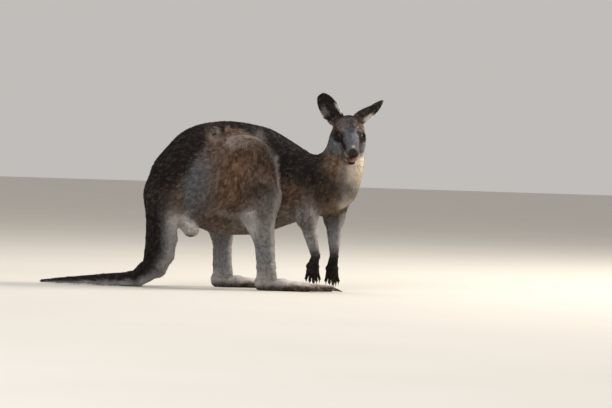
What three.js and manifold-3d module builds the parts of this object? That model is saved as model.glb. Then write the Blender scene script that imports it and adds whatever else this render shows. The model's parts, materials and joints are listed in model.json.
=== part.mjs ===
// A life-size eastern grey kangaroo, standing on its long hind feet and tail and looking to its right.
// Units are millimetres. +X points the way the body faces, +Y to the animal's left, +Z up, floor at Z = 0.
//
// Each muscle mass is a tapered capsule or an egg, with a size in the table of its own part. They melt
// into one field, the outside of the coat, and each solid is that field wrapped round its own bone line.
import * as THREE from 'three';
import { mergeVertices } from 'three/addons/utils/BufferGeometryUtils.js';
import Module from 'manifold-3d';

const wasm = await Module();
wasm.setup();
const { Manifold, Mesh } = wasm;

// ---------------------------------------------------------------- driving dimensions

const GAP = 0.3; // clearance between neighbouring solids
const HIP_HEADING = 18; // degrees that the hindquarters point left of +X
const HEAD_HEADING = -82; // the head looks almost straight out to the animal's right
const HEAD_PITCH = -17; // nose down
const EYE_CENTRE = [536, -75, 629]; // midway between the eyes
const EYE_RADIUS = 13.5;
const EYE_SPREAD = 38; // from the middle of the head to an eyeball's centre
const EAR_LENGTH = 126;
const EAR_WIDTH = 76;
const EAR_WALL = 4;

// ---------------------------------------------------------------- small vector and field helpers

const rad = THREE.MathUtils.degToRad;
const v3 = (p) => (p.isVector3 ? p : new THREE.Vector3(...p));

// A frame is an origin and three axes: forward, left and up.
function frame(origin, heading, pitch = 0, roll = 0) {
  const turn = new THREE.Matrix4()
    .makeRotationZ(rad(heading))
    .multiply(new THREE.Matrix4().makeRotationY(rad(-pitch)))
    .multiply(new THREE.Matrix4().makeRotationX(rad(roll)));
  const toWorld = new THREE.Matrix4().makeTranslation(...origin).multiply(turn);
  return { toWorld, toLocal: toWorld.clone().invert() };
}

// A frame whose z runs along one direction, with x turned as near as it can be to another.
function frameAlong(origin, z, x) {
  const up = v3(z).clone().normalize();
  const left = up.clone().cross(v3(x)).normalize();
  const toWorld = new THREE.Matrix4().makeBasis(left.clone().cross(up), left, up).setPosition(...origin);
  return { toWorld, toLocal: toWorld.clone().invert() };
}

const place = (f, p) => v3(p).clone().applyMatrix4(f.toWorld);

// Distance to a capsule whose radius runs from ra at a to rb at b. Where `flat` is given, the capsule is
// that many times as wide along `side` as it is deep.
function taper(a, ra, b, rb, flat = 1, side = [0, 1, 0]) {
  a = v3(a);
  b = v3(b);
  const axis = b.clone().sub(a);
  const across = v3(side).clone().normalize();
  across.addScaledVector(axis, -across.dot(axis) / axis.lengthSq()).normalize();
  const length2 = axis.lengthSq();
  const slope = ra - rb;
  const a2 = length2 - slope * slope;
  const il2 = 1 / length2;
  const p = new THREE.Vector3();
  const q = new THREE.Vector3();
  return (point) => {
    p.copy(point).sub(a);
    p.addScaledVector(across, p.dot(across) * (1 / flat - 1));
    const y = p.dot(axis);
    const z = y - length2;
    const x2 = q.copy(p).multiplyScalar(length2).addScaledVector(axis, -y).lengthSq();
    const y2 = y * y * length2;
    const z2 = z * z * length2;
    const k = Math.sign(slope) * slope * slope * x2;
    if (Math.sign(z) * a2 * z2 > k) return Math.sqrt(x2 + z2) * il2 - rb;
    if (Math.sign(y) * a2 * y2 < k) return Math.sqrt(x2 + y2) * il2 - ra;
    return (Math.sqrt(x2 * a2 * il2) + y * slope) * il2 - ra;
  };
}

// Distance to an egg with three radii along the axes of a frame.
function egg(centre, radii, heading = 0, pitch = 0, roll = 0) {
  const f = frame(centre, heading, pitch, roll);
  const [rx, ry, rz] = radii;
  const p = new THREE.Vector3();
  return (point) => {
    p.copy(point).applyMatrix4(f.toLocal);
    const k = Math.hypot(p.x / rx, p.y / ry, p.z / rz);
    const g = Math.hypot(p.x / rx / rx, p.y / ry / ry, p.z / rz / rz);
    return g > 0 ? (k * (k - 1)) / g : -Math.min(rx, ry, rz);
  };
}

const melt = (a, b, k) => {
  const h = Math.min(1, Math.max(0, 0.5 + (0.5 * (b - a)) / k));
  return b * (1 - h) + a * h - k * h * (1 - h);
};
const join = (k, ...fields) => (p) => fields.reduce((d, f) => melt(d, f(p), k), 1e6);
const carve = (field, k, ...cuts) => (p) => cuts.reduce((d, cut) => -melt(-d, cut(p), k), field(p));
const inFrame = (f, field) => {
  const q = new THREE.Vector3();
  return (p) => field(q.copy(p).applyMatrix4(f.toLocal));
};

// A chain of tapered capsules through stations of [x, y, z, half depth, half width].
function chain(stations, k) {
  const links = stations.slice(1).map((b, i) => {
    const a = stations[i];
    const side = [a[1] - b[1], b[0] - a[0], 0];
    return taper(a.slice(0, 3), a[3], b.slice(0, 3), b[3], (a[4] / a[3] + b[4] / b[3]) / 2, side);
  });
  return join(k, ...links);
}

// ---------------------------------------------------------------- the masses of the body

// Stations of [x, y, z, half depth, half width] along the spine, from the breast back to the tail's tip.
const TRUNK = [
  [488, 6, 432, 82, 84],
  [412, 36, 422, 110, 98],
  [312, 54, 424, 134, 114],
  [225, 52, 431, 173, 126],
  [140, 38, 438, 210, 132],
  [50, 14, 444, 216, 134],
  [-20, -8, 452, 194, 132],
  [-110, -36, 420, 142, 112],
  [-180, -56, 368, 88, 88],
];
const TAIL = [
  [-180, -56, 368, 88, 88],
  [-203, -64, 290, 64, 65],
  [-202, -68, 200, 63, 62],
  [-208, -70, 140, 60, 60],
  [-224, -73, 88, 50, 53],
  [-288, -77, 37, 35, 40],
  [-335, -80, 28, 29, 32],
  [-425, -83, 24, 26, 28],
  [-565, -80, 17, 19, 20],
  [-672, -70, 10, 12, 13],
];
const NECK = [
  [470, 20, 430, 98, 88],
  [502, 8, 500, 88, 78],
  [519, 0, 560, 76, 68],
  [519, -2, 612, 70, 62],
];

// The vent's bulge, from [place, radius] to [place, radius].
const VENT = [
  [[-118, -42, 290], 44],
  [[-88, -38, 240], 34],
];

const hip = frame([0, 0, 0], HIP_HEADING);
const head = frame(EYE_CENTRE, HEAD_HEADING, HEAD_PITCH);

// side is -1 on the right and 1 on the left. The left leg stands a step behind the right one.
const LEGS = {
  right: {
    side: -1,
    thigh: [118, -62, 442],
    seat: [6, -66, 372],
    knee: [208, -86, 372],
    calf: [160, -82, 290],
    shin: [208, -92, 196],
    ankle: [222, -92, 58],
    heading: 8,
  },
  left: {
    side: 1,
    thigh: [34, 108, 432],
    seat: [-44, 74, 366],
    knee: [66, 128, 346],
    calf: [-6, 118, 282],
    shin: [36, 126, 190],
    ankle: [42, 128, 58],
    heading: 14,
  },
};

const ARMS = {
  right: {
    side: -1,
    shoulder: [398, -34, 436],
    elbow: [374, -60, 300],
    wrist: [414, -18, 142],
    hand: [404, -8, 100],
    heading: -66,
  },
  left: {
    side: 1,
    shoulder: [470, 76, 424],
    elbow: [484, 96, 300],
    wrist: [489, 74, 146],
    hand: [482, 66, 92],
    heading: -60,
  },
};

const trunkField = chain(TRUNK, 40);
const tailField = chain(TAIL, 16);
const neckField = chain(NECK, 24);
const ventField = taper(...VENT[0], ...VENT[1]);

function legFields(leg) {
  const out = [HIP_HEADING, 0, leg.side * -6];
  return {
    thigh: join(
      70,
      egg(leg.thigh, [142, 75, 174], ...out),
      egg(leg.seat, [112, 58, 104], ...out),
      egg(leg.knee, [54, 32, 74], ...out),
    ),
    shank: join(
      26,
      taper(leg.knee, 50, leg.shin, 34, 0.86),
      taper(leg.calf, 47, leg.shin, 33, 0.78),
      taper(leg.shin, 40, [leg.ankle[0] - 4, leg.ankle[1], leg.ankle[2] + 40], 38, 0.68),
      taper([leg.ankle[0] - 4, leg.ankle[1], leg.ankle[2] + 40], 38, leg.ankle, 42, 0.68),
    ),
  };
}

// The foot in its own frame: x forward from the ankle, z up from the floor.
const FOOT = {
  heel: [-19, 0, 26],
  ball: [150, 0, 17],
  toeEnd: [258, 0, 14],
  outerToe: [
    [120, 24, 14],
    [196, 34, 12],
  ],
  innerToes: [
    [110, -20, 14],
    [172, -26, 11],
  ],
};

function footField(leg) {
  const f = frame([leg.ankle[0], leg.ankle[1], 0], leg.heading);
  const outer = (p) => [p[0], p[1] * leg.side, p[2]];
  const sole = join(
    16,
    taper([-6, 0, 44], 38, [26, 0, 25], 24, 0.74),
    taper(FOOT.heel, 27, [60, 0, 22], 24, 1.05),
    taper([60, 0, 22], 24, FOOT.ball, 20, 1.3),
    taper(FOOT.ball, 18, FOOT.toeEnd, 15, 1.1),
  );
  const toes = [
    taper(outer(FOOT.outerToe[0]), 14, outer(FOOT.outerToe[1]), 11),
    taper(outer(FOOT.innerToes[0]), 12, outer(FOOT.innerToes[1]), 9),
  ];
  return { f, outer, sole: inFrame(f, sole), field: inFrame(f, join(10, sole, ...toes)) };
}

function armFields(arm) {
  return {
    upper: join(
      30,
      taper(arm.shoulder, 70, arm.elbow, 37, 0.8),
      taper([arm.shoulder[0] + 12, arm.shoulder[1], arm.shoulder[2] - 50], 58, arm.elbow, 36, 0.8),
    ),
    fore: join(16, taper(arm.elbow, 37, arm.wrist, 17, 0.92)),
  };
}

// The hand hangs: x forward over the fingers' backs, z up the wrist.
const FINGERS = [-2, -1, 0, 1, 2].map((n) => ({
  n,
  root: [4 - Math.abs(n) * 2, n * 9, -28 + Math.abs(n) * 5],
  tip: [11 - Math.abs(n) * 4, n * 14.5, -60 + Math.abs(n) * 6],
}));

function handField(arm) {
  const f = frame(arm.hand, arm.heading);
  const palm = join(
    9,
    taper([0, 0, 40], 18, [0, 0, 0], 21, 1.1),
    taper([0, 0, 0], 20, [3, 0, -24], 19, 1.4),
  );
  const fingers = FINGERS.map((g) => taper(g.root, 9, g.tip, 6.5));
  return { f, palm: inFrame(f, palm), field: inFrame(f, join(8, palm, ...fingers)) };
}

// The head in its own frame: x along the mouth line to the nose, origin midway between the eyes.
const both = (make) => [make(-1), make(1)];
const skullField = join(
  16,
  egg([-44, 0, 12], [60, 59, 55]),
  taper([-8, 0, 10], 30, [72, 0, -22], 21, 1.06),
  taper([0, 0, -24], 46, [88, 0, -42], 25, 0.92),
  egg([100, 0, -36], [16, 22, 17]),
  ...both((s) => egg([-30, s * 41, -34], [52, 30, 48])),
  ...both((s) => taper([-26, s * 40, 18], 15, [12, s * 35, 12], 11)),
  ...both((s) => egg([84, s * 14, -50], [22, 14, 14])),
);
const jawField = join(
  12,
  taper([-40, 0, -60], 32, [28, 0, -76], 21, 1.3),
  taper([28, 0, -76], 21, [86, 0, -84], 12.5, 1.25),
);
const eyeSockets = both((s) => egg([6, s * 51, -1], [15, 11, 10]));
const headField = inFrame(head, carve(join(14, skullField, jawField), 8, ...eyeSockets));

const EARS = {
  right: frameAlong([484, -32, 682], [-0.57, 0.06, 0.82], [-0.25, -0.95, -0.1]),
  left: frameAlong([572, -24, 680], [0.75, 0.04, 0.66], [0.55, 0.42, -0.72]),
};

const legs = Object.entries(LEGS).map(([name, leg]) => (
  { name, leg, ...legFields(leg), foot: footField(leg) }
));
const arms = Object.entries(ARMS).map(([name, arm]) => (
  { name, arm, ...armFields(arm), hand: handField(arm) }
));

const soft = join(44, trunkField, tailField, neckField, ...arms.map((a) => a.upper));
const legField = (l) => join(24, join(34, l.thigh, l.shank), l.foot.field);
const armField = (a) => join(14, a.fore, a.hand.field);
const body = join(22, soft, ventField, headField, ...legs.map(legField), ...arms.map(armField));
const coat = (p) => Math.max(body(p), -p.z);

// ---------------------------------------------------------------- wrapping the field round a bone line

function distanceOut(field, from, direction, reach) {
  const p = new THREE.Vector3();
  const at = (t) => field(p.copy(from).addScaledVector(direction, t));
  let low = 0;
  let high = 0;
  while (high < reach && at(high) < 0) {
    low = high;
    high += Math.max(1.5, -at(high) * 0.7);
  }
  for (let i = 0; i < 18; i += 1) {
    const middle = (low + high) / 2;
    if (at(middle) < 0) low = middle;
    else high = middle;
  }
  return low;
}

function ringOfRays(field, centre, along, tilt, { sides, reach = 420, up = [0, 0, 1], grow = 0 }) {
  const a = v3(up).clone().addScaledVector(along, -v3(up).dot(along));
  a.normalize();
  const b = new THREE.Vector3().crossVectors(along, a);
  return Array.from({ length: sides }, (_, j) => {
    const turn = (2 * Math.PI * j) / sides;
    const direction = a.clone().multiplyScalar(Math.cos(turn)).addScaledVector(b, Math.sin(turn));
    direction.multiplyScalar(Math.cos(tilt)).addScaledVector(along, Math.sin(tilt));
    const r = distanceOut(field, centre, direction, reach) + grow;
    return centre.clone().addScaledVector(direction, Math.max(r, 0.5));
  });
}

function lineThrough(points) {
  if (points.getPointAt) return points;
  if (points.length === 2) return new THREE.LineCurve3(v3(points[0]), v3(points[1]));
  return new THREE.CatmullRomCurve3(points.map(v3), false, 'centripetal');
}

// Rings of rays from a bone line out to the field. An end is flat, or a dome of some more rings.
function wrap(field, points, options) {
  const { rings, sides, from = 0, to = 1, domes = [0, 0], reach = 420, grow = 0 } = options;
  const { slice = (p, along) => along } = options;
  const line = lineThrough(points);
  const ends = [line.getPointAt(from), line.getPointAt(to)];
  const sliceAt = (u) => slice(line.getPointAt(u), line.getTangentAt(u));
  const tangents = [sliceAt(from), sliceAt(to)];
  const rows = [];
  const addRing = (centre, along, tilt, shift = 0) => {
    rows.push(ringOfRays(field, centre, along, tilt, options).map((p) => p.addScaledVector(along, shift)));
  };
  const quarter = Math.PI / 2;
  for (let i = 1; i <= domes[0]; i += 1) {
    addRing(ends[0], tangents[0], -quarter * (1 - i / (domes[0] + 1)));
  }
  for (let i = 0; i < rings; i += 1) {
    const u = from + ((to - from) * i) / (rings - 1);
    const centre = line.getPointAt(u);
    // A flat end stands back half a gap from the cut, and in a grown copy it moves out with the rest.
    const end = i === 0 && !domes[0] ? 1 : i === rings - 1 && !domes[1] ? -1 : 0;
    centre.addScaledVector(sliceAt(u), (end * GAP) / 2);
    addRing(centre, sliceAt(u), 0, -end * grow);
  }
  for (let i = 1; i <= domes[1]; i += 1) {
    addRing(ends[1], tangents[1], (quarter * i) / (domes[1] + 1));
  }

  const pole = (k, sign) => {
    const direction = tangents[k].clone().multiplyScalar(sign);
    if (domes[k]) {
      const r = distanceOut(field, ends[k], direction, reach) + grow;
      return ends[k].clone().addScaledVector(direction, r);
    }
    const row = rows[k ? rows.length - 1 : 0];
    return row.reduce((sum, p) => sum.add(p), new THREE.Vector3()).divideScalar(sides);
  };
  const vertices = [...rows.flat(), pole(0, -1), pole(1, 1)];
  return solid(vertices.flatMap((p) => [p.x, p.y, Math.max(p.z, -grow)]), tubeFaces(rows.length, sides));
}

// Faces over n rings of vertices, closed by a fan at each end round the last two vertices.
function tubeFaces(n, sides) {
  const faces = [];
  for (let j = 0; j < sides; j += 1) {
    const k = (j + 1) % sides;
    for (let i = 0; i < n - 1; i += 1) {
      const [a, b] = [i * sides + j, i * sides + k];
      faces.push(a, b, b + sides, a, b + sides, a + sides);
    }
    faces.push(n * sides, k, j, n * sides + 1, (n - 1) * sides + j, (n - 1) * sides + k);
  }
  return faces;
}

function solid(vertices, faces) {
  const geometry = new THREE.BufferGeometry();
  geometry.setAttribute('position', new THREE.Float32BufferAttribute(vertices, 3));
  geometry.setIndex([...faces]);
  return closed(geometry);
}

// Merges the vertices of a three.js geometry and gives it to the joiner, with its faces pointing out.
function closed(geometry) {
  geometry.deleteAttribute('normal');
  geometry.deleteAttribute('uv');
  const merged = mergeVertices(geometry, 1e-4);
  const triVerts = Uint32Array.from(merged.index.array);
  const vertProperties = Float32Array.from(merged.attributes.position.array);
  const made = new Manifold(new Mesh({ numProp: 3, vertProperties, triVerts }));
  if (made.volume() > 0) return made;
  return new Manifold(new Mesh({ numProp: 3, vertProperties, triVerts: triVerts.reverse() }));
}

const within = (field, margin) => (p) => Math.max(coat(p), field(p) - margin);

// ---------------------------------------------------------------- cutting tools

// Everything behind a plane through `origin` that faces `direction`.
function behind(origin, direction, grow = -GAP / 2) {
  const size = 1200;
  const geometry = new THREE.BoxGeometry(size, size, size);
  geometry.translate(0, 0, grow - size / 2);
  const up = new THREE.Vector3(0, 0, 1);
  const turn = new THREE.Quaternion().setFromUnitVectors(up, v3(direction).clone().normalize());
  geometry.applyQuaternion(turn);
  geometry.translate(...v3(origin).toArray());
  return closed(geometry);
}

// A prism with the outline that a field has in the plane across `axis`, from `inner` to `outer` along it.
function prism(field, centre, axis, inner, outer, grow = -GAP / 2, sides = 18) {
  const along = v3(axis).clone().normalize();
  const row = ringOfRays(field, v3(centre), along, 0, { sides, grow });
  const shift = (p, d) => p.clone().addScaledVector(along, d);
  const vertices = [...row.map((p) => shift(p, inner - grow)), ...row.map((p) => shift(p, outer))];
  const ends = [shift(v3(centre), inner - grow), shift(v3(centre), outer)];
  const faces = [];
  for (let j = 0; j < sides; j += 1) {
    const k = (j + 1) % sides;
    faces.push(j, k, sides + k, j, sides + k, sides + j);
    faces.push(2 * sides, k, j, 2 * sides + 1, sides + j, sides + k);
  }
  return solid([...vertices, ...ends].flatMap((p) => p.toArray()), faces);
}

// ---------------------------------------------------------------- ears, eyes, nose, tongue and claws

function ball(centre, radii, f, grow = 0, detail = [10, 6]) {
  const geometry = new THREE.SphereGeometry(1, ...detail);
  geometry.scale(...radii.map((r) => r + grow));
  geometry.translate(...centre);
  geometry.applyMatrix4(f.toWorld);
  return closed(geometry);
}

// Rows of points, each a closed loop, joined into a solid with flat ends.
function skinned(rows, f) {
  const sides = rows[0].length;
  const n = rows.length;
  const middle = (row) => row.reduce((sum, p) => sum.add(v3(p)), new THREE.Vector3()).divideScalar(sides);
  const points = [...rows.flat().map(v3), middle(rows[0]), middle(rows[n - 1])];
  return solid(points.flatMap((p) => p.applyMatrix4(f.toWorld).toArray()), tubeFaces(n, sides));
}

// The share of its full width that an ear has at a share v of its length: widest a little below the middle.
function leafWidth(v) {
  const widest = 0.46;
  if (v > widest) return Math.sqrt(Math.max(1 - ((v - widest) / 0.56) ** 2, 0));
  return 1 - 0.42 * ((widest - v) / widest) ** 2;
}

// A leaf-shaped scoop. It stands along z, opens towards x, and curls almost to a tube at the root.
function ear(f) {
  const across = 6;
  const along = 7;
  const rows = [];
  for (let i = 0; i <= along; i += 1) {
    const v = i / along;
    const half = (EAR_WIDTH / 2) * Math.max(leafWidth(v), 0.08);
    // The curl is half of the angle that the wall spans.
    const curl = THREE.MathUtils.lerp(2, 0.8, Math.min(1, v * 1.5));
    const r = half / Math.sin(Math.min(curl, Math.PI / 2));
    const wall = (EAR_WALL / 2) * (1 - 0.5 * v);
    const lean = r * Math.cos(curl) - 9 * v * v;
    const arc = (lift, back) => Array.from({ length: across }, (_, j) => {
      const a = curl * ((2 * j) / (across - 1) - 1) * back;
      return [lean - (r + lift) * Math.cos(a), (r + lift) * Math.sin(a), EAR_LENGTH * v];
    });
    rows.push([...arc(wall, 1), ...arc(-wall, -1)]);
  }
  return skinned(rows, f);
}

// A claw: a cone bent down along its length, flatter from side to side.
function claw(f, root, length, radius, drop, pitch, grow = 0) {
  const turned = frame(root, 0, pitch);
  const all = { toWorld: f.toWorld.clone().multiply(turned.toWorld) };
  const rows = [0, 0.5, 1].map((t) => Array.from({ length: 6 }, (_, j) => {
    const r = radius * (1 - 0.9 * t ** 1.3) + grow;
    const a = (2 * Math.PI * j) / 6;
    return [(length + 2 * grow) * t - grow, r * 0.75 * Math.cos(a), r * Math.sin(a) - drop * t * t];
  }));
  return skinned(rows, all);
}

// ---------------------------------------------------------------- the nodes

const coatOf = (color, roughness = 0.9) => (
  new THREE.MeshStandardMaterial({ color, roughness, metalness: 0 })
);
const MATERIALS = {
  back: coatOf(0x4a3a33),
  flank: coatOf(0x6f5a4c),
  pale: coatOf(0x9d948a),
  dark: coatOf(0x2b2524),
  horn: coatOf(0x1c1918, 0.4),
  eye: coatOf(0x120c0a, 0.1),
  tongue: coatOf(0xb0606a, 0.5),
};

const root = new THREE.Group();
root.name = 'kangaroo';
function addNode(name, material, made) {
  const { vertProperties, triVerts } = made.getMesh();
  const geometry = new THREE.BufferGeometry();
  geometry.setAttribute('position', new THREE.Float32BufferAttribute(vertProperties, 3));
  geometry.setIndex(new THREE.Uint32BufferAttribute(triVerts, 1));
  const piece = new THREE.Mesh(geometry, MATERIALS[material].clone());
  piece.name = name;
  root.add(piece);
}

const cutAll = (made, tools) => tools.reduce((left, tool) => left.subtract(tool), made);
const inHead = (x, y, z) => place(head, [x, y, z]);
const headDirection = (x, y, z) => inHead(x, y, z).sub(inHead(0, 0, 0));
const back = (direction) => v3(direction).clone().negate();

// Head: one loft along the skull. A plane parts it from the neck. A wedge under the mouth line is the jaw,
// whose face drops a few degrees from the upper lip, so that the mouth stands a little open.
const THROAT = [inHead(-62, 0, -62), headDirection(0.62, 0, 0.78)];
const NECK_BASE = [[506, 6, 517], [0.49, -0.12, 0.87]];
const LIP = [inHead(38, 0, -58), headDirection(-0.085, 0, -1)];
const JAW_FACE = [inHead(38, 0, -58.5), headDirection(-0.4, 0, -1)];
const JAW_ANGLE = [inHead(38, 0, -60), headDirection(1, 0, 0)];
const headUp = headDirection(0, 0, 1);
const headLine = [inHead(-62, 0, -6), inHead(10, 0, -22), inHead(84, 0, -46)];
const headLoft = (grow) => wrap(within(headField, 26), headLine,
  { rings: 9, sides: 18, domes: [2, 2], reach: 160, up: headUp, grow });
const jawWedge = (face, grow) => behind(face[0], back(face[1]), grow)
  .intersect(behind(JAW_ANGLE[0], back(JAW_ANGLE[1]), grow));
const eye = (s, grow) => ball([2, s * EYE_SPREAD, -1], [EYE_RADIUS, EYE_RADIUS, EYE_RADIUS], head, grow);
const nosePad = (grow) => ball([110, 0, -33], [8, 17, 11], head, grow);
const tongue = (grow) => ball([0, 0, 0], [24, 11, 4.5], tongueFrame, grow, [8, 5]);
const tongueFrame = { toWorld: head.toWorld.clone().multiply(frame([78, 0, -74], 0, -14).toWorld) };
const wholeHead = headLoft(0).intersect(behind(NECK_BASE[0], back(NECK_BASE[1])));
addNode('head', 'flank', cutAll(wholeHead, [
  behind(THROAT[0], THROAT[1], GAP / 2),
  jawWedge(LIP, GAP / 2),
  eye(1, GAP),
  eye(-1, GAP),
  nosePad(GAP),
  tongue(GAP),
]));
addNode('jaw', 'pale', cutAll(wholeHead.intersect(jawWedge(JAW_FACE)), [
  behind(THROAT[0], THROAT[1], GAP / 2), tongue(GAP), nosePad(GAP),
]));
addNode('nose', 'dark', nosePad(0));
addNode('tongue', 'tongue', tongue(0));
addNode('eye_right', 'eye', eye(-1, 0));
addNode('eye_left', 'eye', eye(1, 0));
const earSeats = [headLoft(3 * GAP), headLoft(0)];
addNode('ear_right', 'dark', cutAll(ear(EARS.right), earSeats));
addNode('ear_left', 'dark', cutAll(ear(EARS.left), earSeats));

const neckLoft = wrap(within(neckField, 26), NECK.map((s) => s.slice(0, 3)),
  { rings: 6, sides: 16, domes: [0, 2], up: [1, 0, 0] });
addNode('neck', 'flank', neckLoft
  .intersect(behind(NECK_BASE[0], back(NECK_BASE[1])))
  .intersect(behind(...THROAT)));

// Arms: the upper arm is a plug let into the side of the chest.
const chestCuts = [behind(NECK_BASE[0], back(NECK_BASE[1]), GAP / 2)];
for (const { name, arm, upper, fore, hand } of arms) {
  const outward = [0.3 * arm.side, 0.95 * arm.side, 0];
  const middle = v3(arm.shoulder).clone().lerp(v3(arm.elbow), 0.4);
  const plug = (grow) => prism(upper, middle, outward, -34, 130, grow);
  const wristPlane = [place(hand.f, [0, 0, 34]), place(hand.f, [0, 0, 1]).sub(place(hand.f, [0, 0, 0]))];
  const down = wristPlane[0].clone().sub(v3(arm.elbow));
  const upperLoft = wrap(within(upper, 30), [arm.shoulder, arm.elbow],
    { rings: 6, sides: 14, domes: [2, 2], up: [1, 0, 0] });
  addNode(`upper_arm_${name}`, 'flank', upperLoft.intersect(plug()).intersect(behind(arm.elbow, down)));
  chestCuts.push(plug(GAP / 2));
  const pastWrist = wristPlane[0].clone().addScaledVector(down, 0.1);
  const foreLoft = wrap(within(join(12, fore, hand.palm), 4), [arm.elbow, pastWrist],
    { rings: 6, sides: 12, reach: 90, up: [1, 0, 0] });
  addNode(`forearm_${name}`, 'flank', foreLoft.intersect(behind(wristPlane[0], back(wristPlane[1]))));
  const fingerClaws = FINGERS.map(({ tip }) => (grow) => (
    claw(hand.f, [tip[0] + 1, tip[1], tip[2] - 3], 18, 3.6, 4, -80, grow)
  ));
  const palm = wrap(within(hand.palm, 0), [place(hand.f, [0, 0, 36]), place(hand.f, [2, 0, -26])],
    { rings: 3, sides: 8, domes: [0, 1], reach: 60, up: [1, 0, 0] }).intersect(behind(...wristPlane));
  const fingers = FINGERS.map(({ root: knuckle, tip }) => (
    wrap(inFrame(hand.f, taper(knuckle, 9, tip, 6.5)), [place(hand.f, knuckle), place(hand.f, tip)],
      { rings: 2, sides: 5, domes: [0, 1], reach: 30, up: [1, 0, 0] })
  ));
  const whole = fingers.reduce((all, finger) => all.add(finger), palm);
  addNode(`hand_${name}`, 'dark', cutAll(whole, fingerClaws.map((make) => make(GAP))));
  fingerClaws.forEach((make, i) => addNode(`claw_hand_${name}_${i + 1}`, 'horn', make(0)));
}

// Legs: the thigh is an oval plug let into the side of the rump, and the shank passes down out of it.
const rumpCuts = [];
for (const { name, leg, thigh, shank, foot } of legs) {
  const outward = place(hip, [0, leg.side, 0]).sub(place(hip, [0, 0, 0]));
  const ankleCut = [[leg.ankle[0] - 2, leg.ankle[1], leg.ankle[2] + 6], [0, 0, 1]];
  const shankTop = v3(leg.calf).clone().lerp(v3(leg.knee), 0.42);
  shankTop.z = leg.calf[2] + 14;
  const shankLine = lineThrough([shankTop, leg.shin, ankleCut[0], [leg.ankle[0], leg.ankle[1], 20]]);
  const kneePlane = [shankTop, shankLine.getTangentAt(0)];
  const plug = (grow) => prism(thigh, leg.thigh, outward, -50, 160, grow)
    .intersect(behind(kneePlane[0], kneePlane[1], grow));
  const hipPoint = v3(leg.thigh).clone().addScaledVector(outward, -40);
  const thighLoft = wrap(within(join(34, thigh, shank), 30), [hipPoint, leg.thigh],
    { rings: 2, sides: 20, domes: [1, 4] });
  addNode(`thigh_${name}`, 'flank', thighLoft.intersect(plug()));
  const shankLoft = (grow) => wrap(within(join(30, thigh, shank), 14), shankLine,
    { rings: 9, sides: 14, reach: 190, grow, up: [1, 0, 0], slice: () => kneePlane[1] });
  addNode(`shank_${name}`, 'pale', shankLoft(0).intersect(behind(ankleCut[0], back(ankleCut[1]))));
  rumpCuts.push(plug(GAP / 2), shankLoft(3 * GAP), shankLoft(0));

  const at = (p) => place(foot.f, p);
  const soleLine = [[-14, 0, 26], [60, 0, 22], FOOT.ball, [FOOT.toeEnd[0] - 6, 0, 14]].map(at);
  const sole = wrap(join(20, foot.sole, shank), soleLine, { rings: 7, sides: 10, domes: [2, 1], reach: 90 });
  const toe = (ends, ra, rb) => wrap(inFrame(foot.f, taper(ends[0], ra, ends[1], rb)), ends.map(at),
    { rings: 2, sides: 5, domes: [0, 1], reach: 40 });
  const outerEnds = FOOT.outerToe.map(foot.outer);
  const innerEnds = FOOT.innerToes.map(foot.outer);
  const toes = toe(outerEnds, 14, 11).add(toe(innerEnds, 12, 9));
  const whole = sole.add(toes).intersect(behind(...ankleCut));
  const outerTip = outerEnds[1];
  const innerTip = innerEnds[1];
  const toeClaws = {
    long: (grow) => claw(foot.f, [FOOT.toeEnd[0] + 6, 0, 14], 44, 8, 5, -8, grow),
    outer: (grow) => claw(foot.f, [outerTip[0] + 4, outerTip[1], 12], 24, 5.5, 4, -8, grow),
    inner_a: (grow) => claw(foot.f, [innerTip[0] + 2, innerTip[1] - 4, 10], 15, 3.2, 3, -8, grow),
    inner_b: (grow) => claw(foot.f, [innerTip[0] + 2, innerTip[1] + 4, 10], 15, 3.2, 3, -8, grow),
  };
  addNode(`foot_${name}`, 'pale', cutAll(whole, Object.values(toeClaws).map((make) => make(GAP))));
  for (const [toeName, make] of Object.entries(toeClaws)) {
    addNode(`claw_foot_${name}_${toeName}`, 'horn', make(0));
  }
}

// Trunk and tail: lengths of one loft along the spine, each from one share of its length to the next.
const spine = lineThrough([...TRUNK, ...TAIL.slice(1)].map((s) => s.slice(0, 3)));
const spineField = within(join(30, trunkField, tailField, neckField), 12);
const LENGTHS = [
  ['chest', 0, 0.155, 5, 20, [...chestCuts, ...rumpCuts]],
  ['belly', 0.155, 0.335, 5, 20, [...chestCuts, ...rumpCuts]],
  ['rump', 0.335, 0.475, 6, 20, rumpCuts],
  ['tail_1', 0.475, 0.585, 5, 18, rumpCuts],
  ['tail_2', 0.585, 0.685, 5, 16, []],
  ['tail_3', 0.685, 0.76, 5, 16, []],
  ['tail_4', 0.76, 0.88, 5, 14, []],
  ['tail_5', 0.88, 1, 5, 12, []],
];
// The trunk is sliced upright. Round the crotch the slices fan out from one line across the body, so that
// they never meet inside it, and down the tail they lie square to its bone line.
const CROTCH = [-95, 235];
function slice(p, along) {
  if (p.z < CROTCH[1]) return along;
  if (p.x > CROTCH[0]) return new THREE.Vector3(-1, 0, 0);
  return new THREE.Vector3(CROTCH[1] - p.z, 0, p.x - CROTCH[0]).normalize();
}
const spineLoft = ([, from, to, rings, sides], grow) => wrap(spineField, spine,
  { from, to, rings, sides, domes: [from === 0 ? 3 : 0, to === 1 ? 2 : 0], up: [0, 1, 0], slice, grow });
for (const length of LENGTHS) addNode(length[0], 'back', cutAll(spineLoft(length, 0), length[5]));

// The bulge of the vent shows between the root of the tail and the belly.
const ventLoft = wrap(ventField, VENT.map(([end]) => end),
  { rings: 3, sides: 10, domes: [2, 2], reach: 80 });
const aroundVent = LENGTHS.slice(1, 4)
  .flatMap((length) => [spineLoft(length, 3 * GAP), spineLoft(length, 0)]);
addNode('vent', 'pale', cutAll(ventLoft, [...aroundVent, ...rumpCuts]));

// The box's centre stands over the origin, on the floor.
const middle = new THREE.Box3().setFromObject(root).getCenter(new THREE.Vector3());
for (const piece of root.children) piece.position.set(-middle.x, -middle.y, 0);

export default root;
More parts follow.
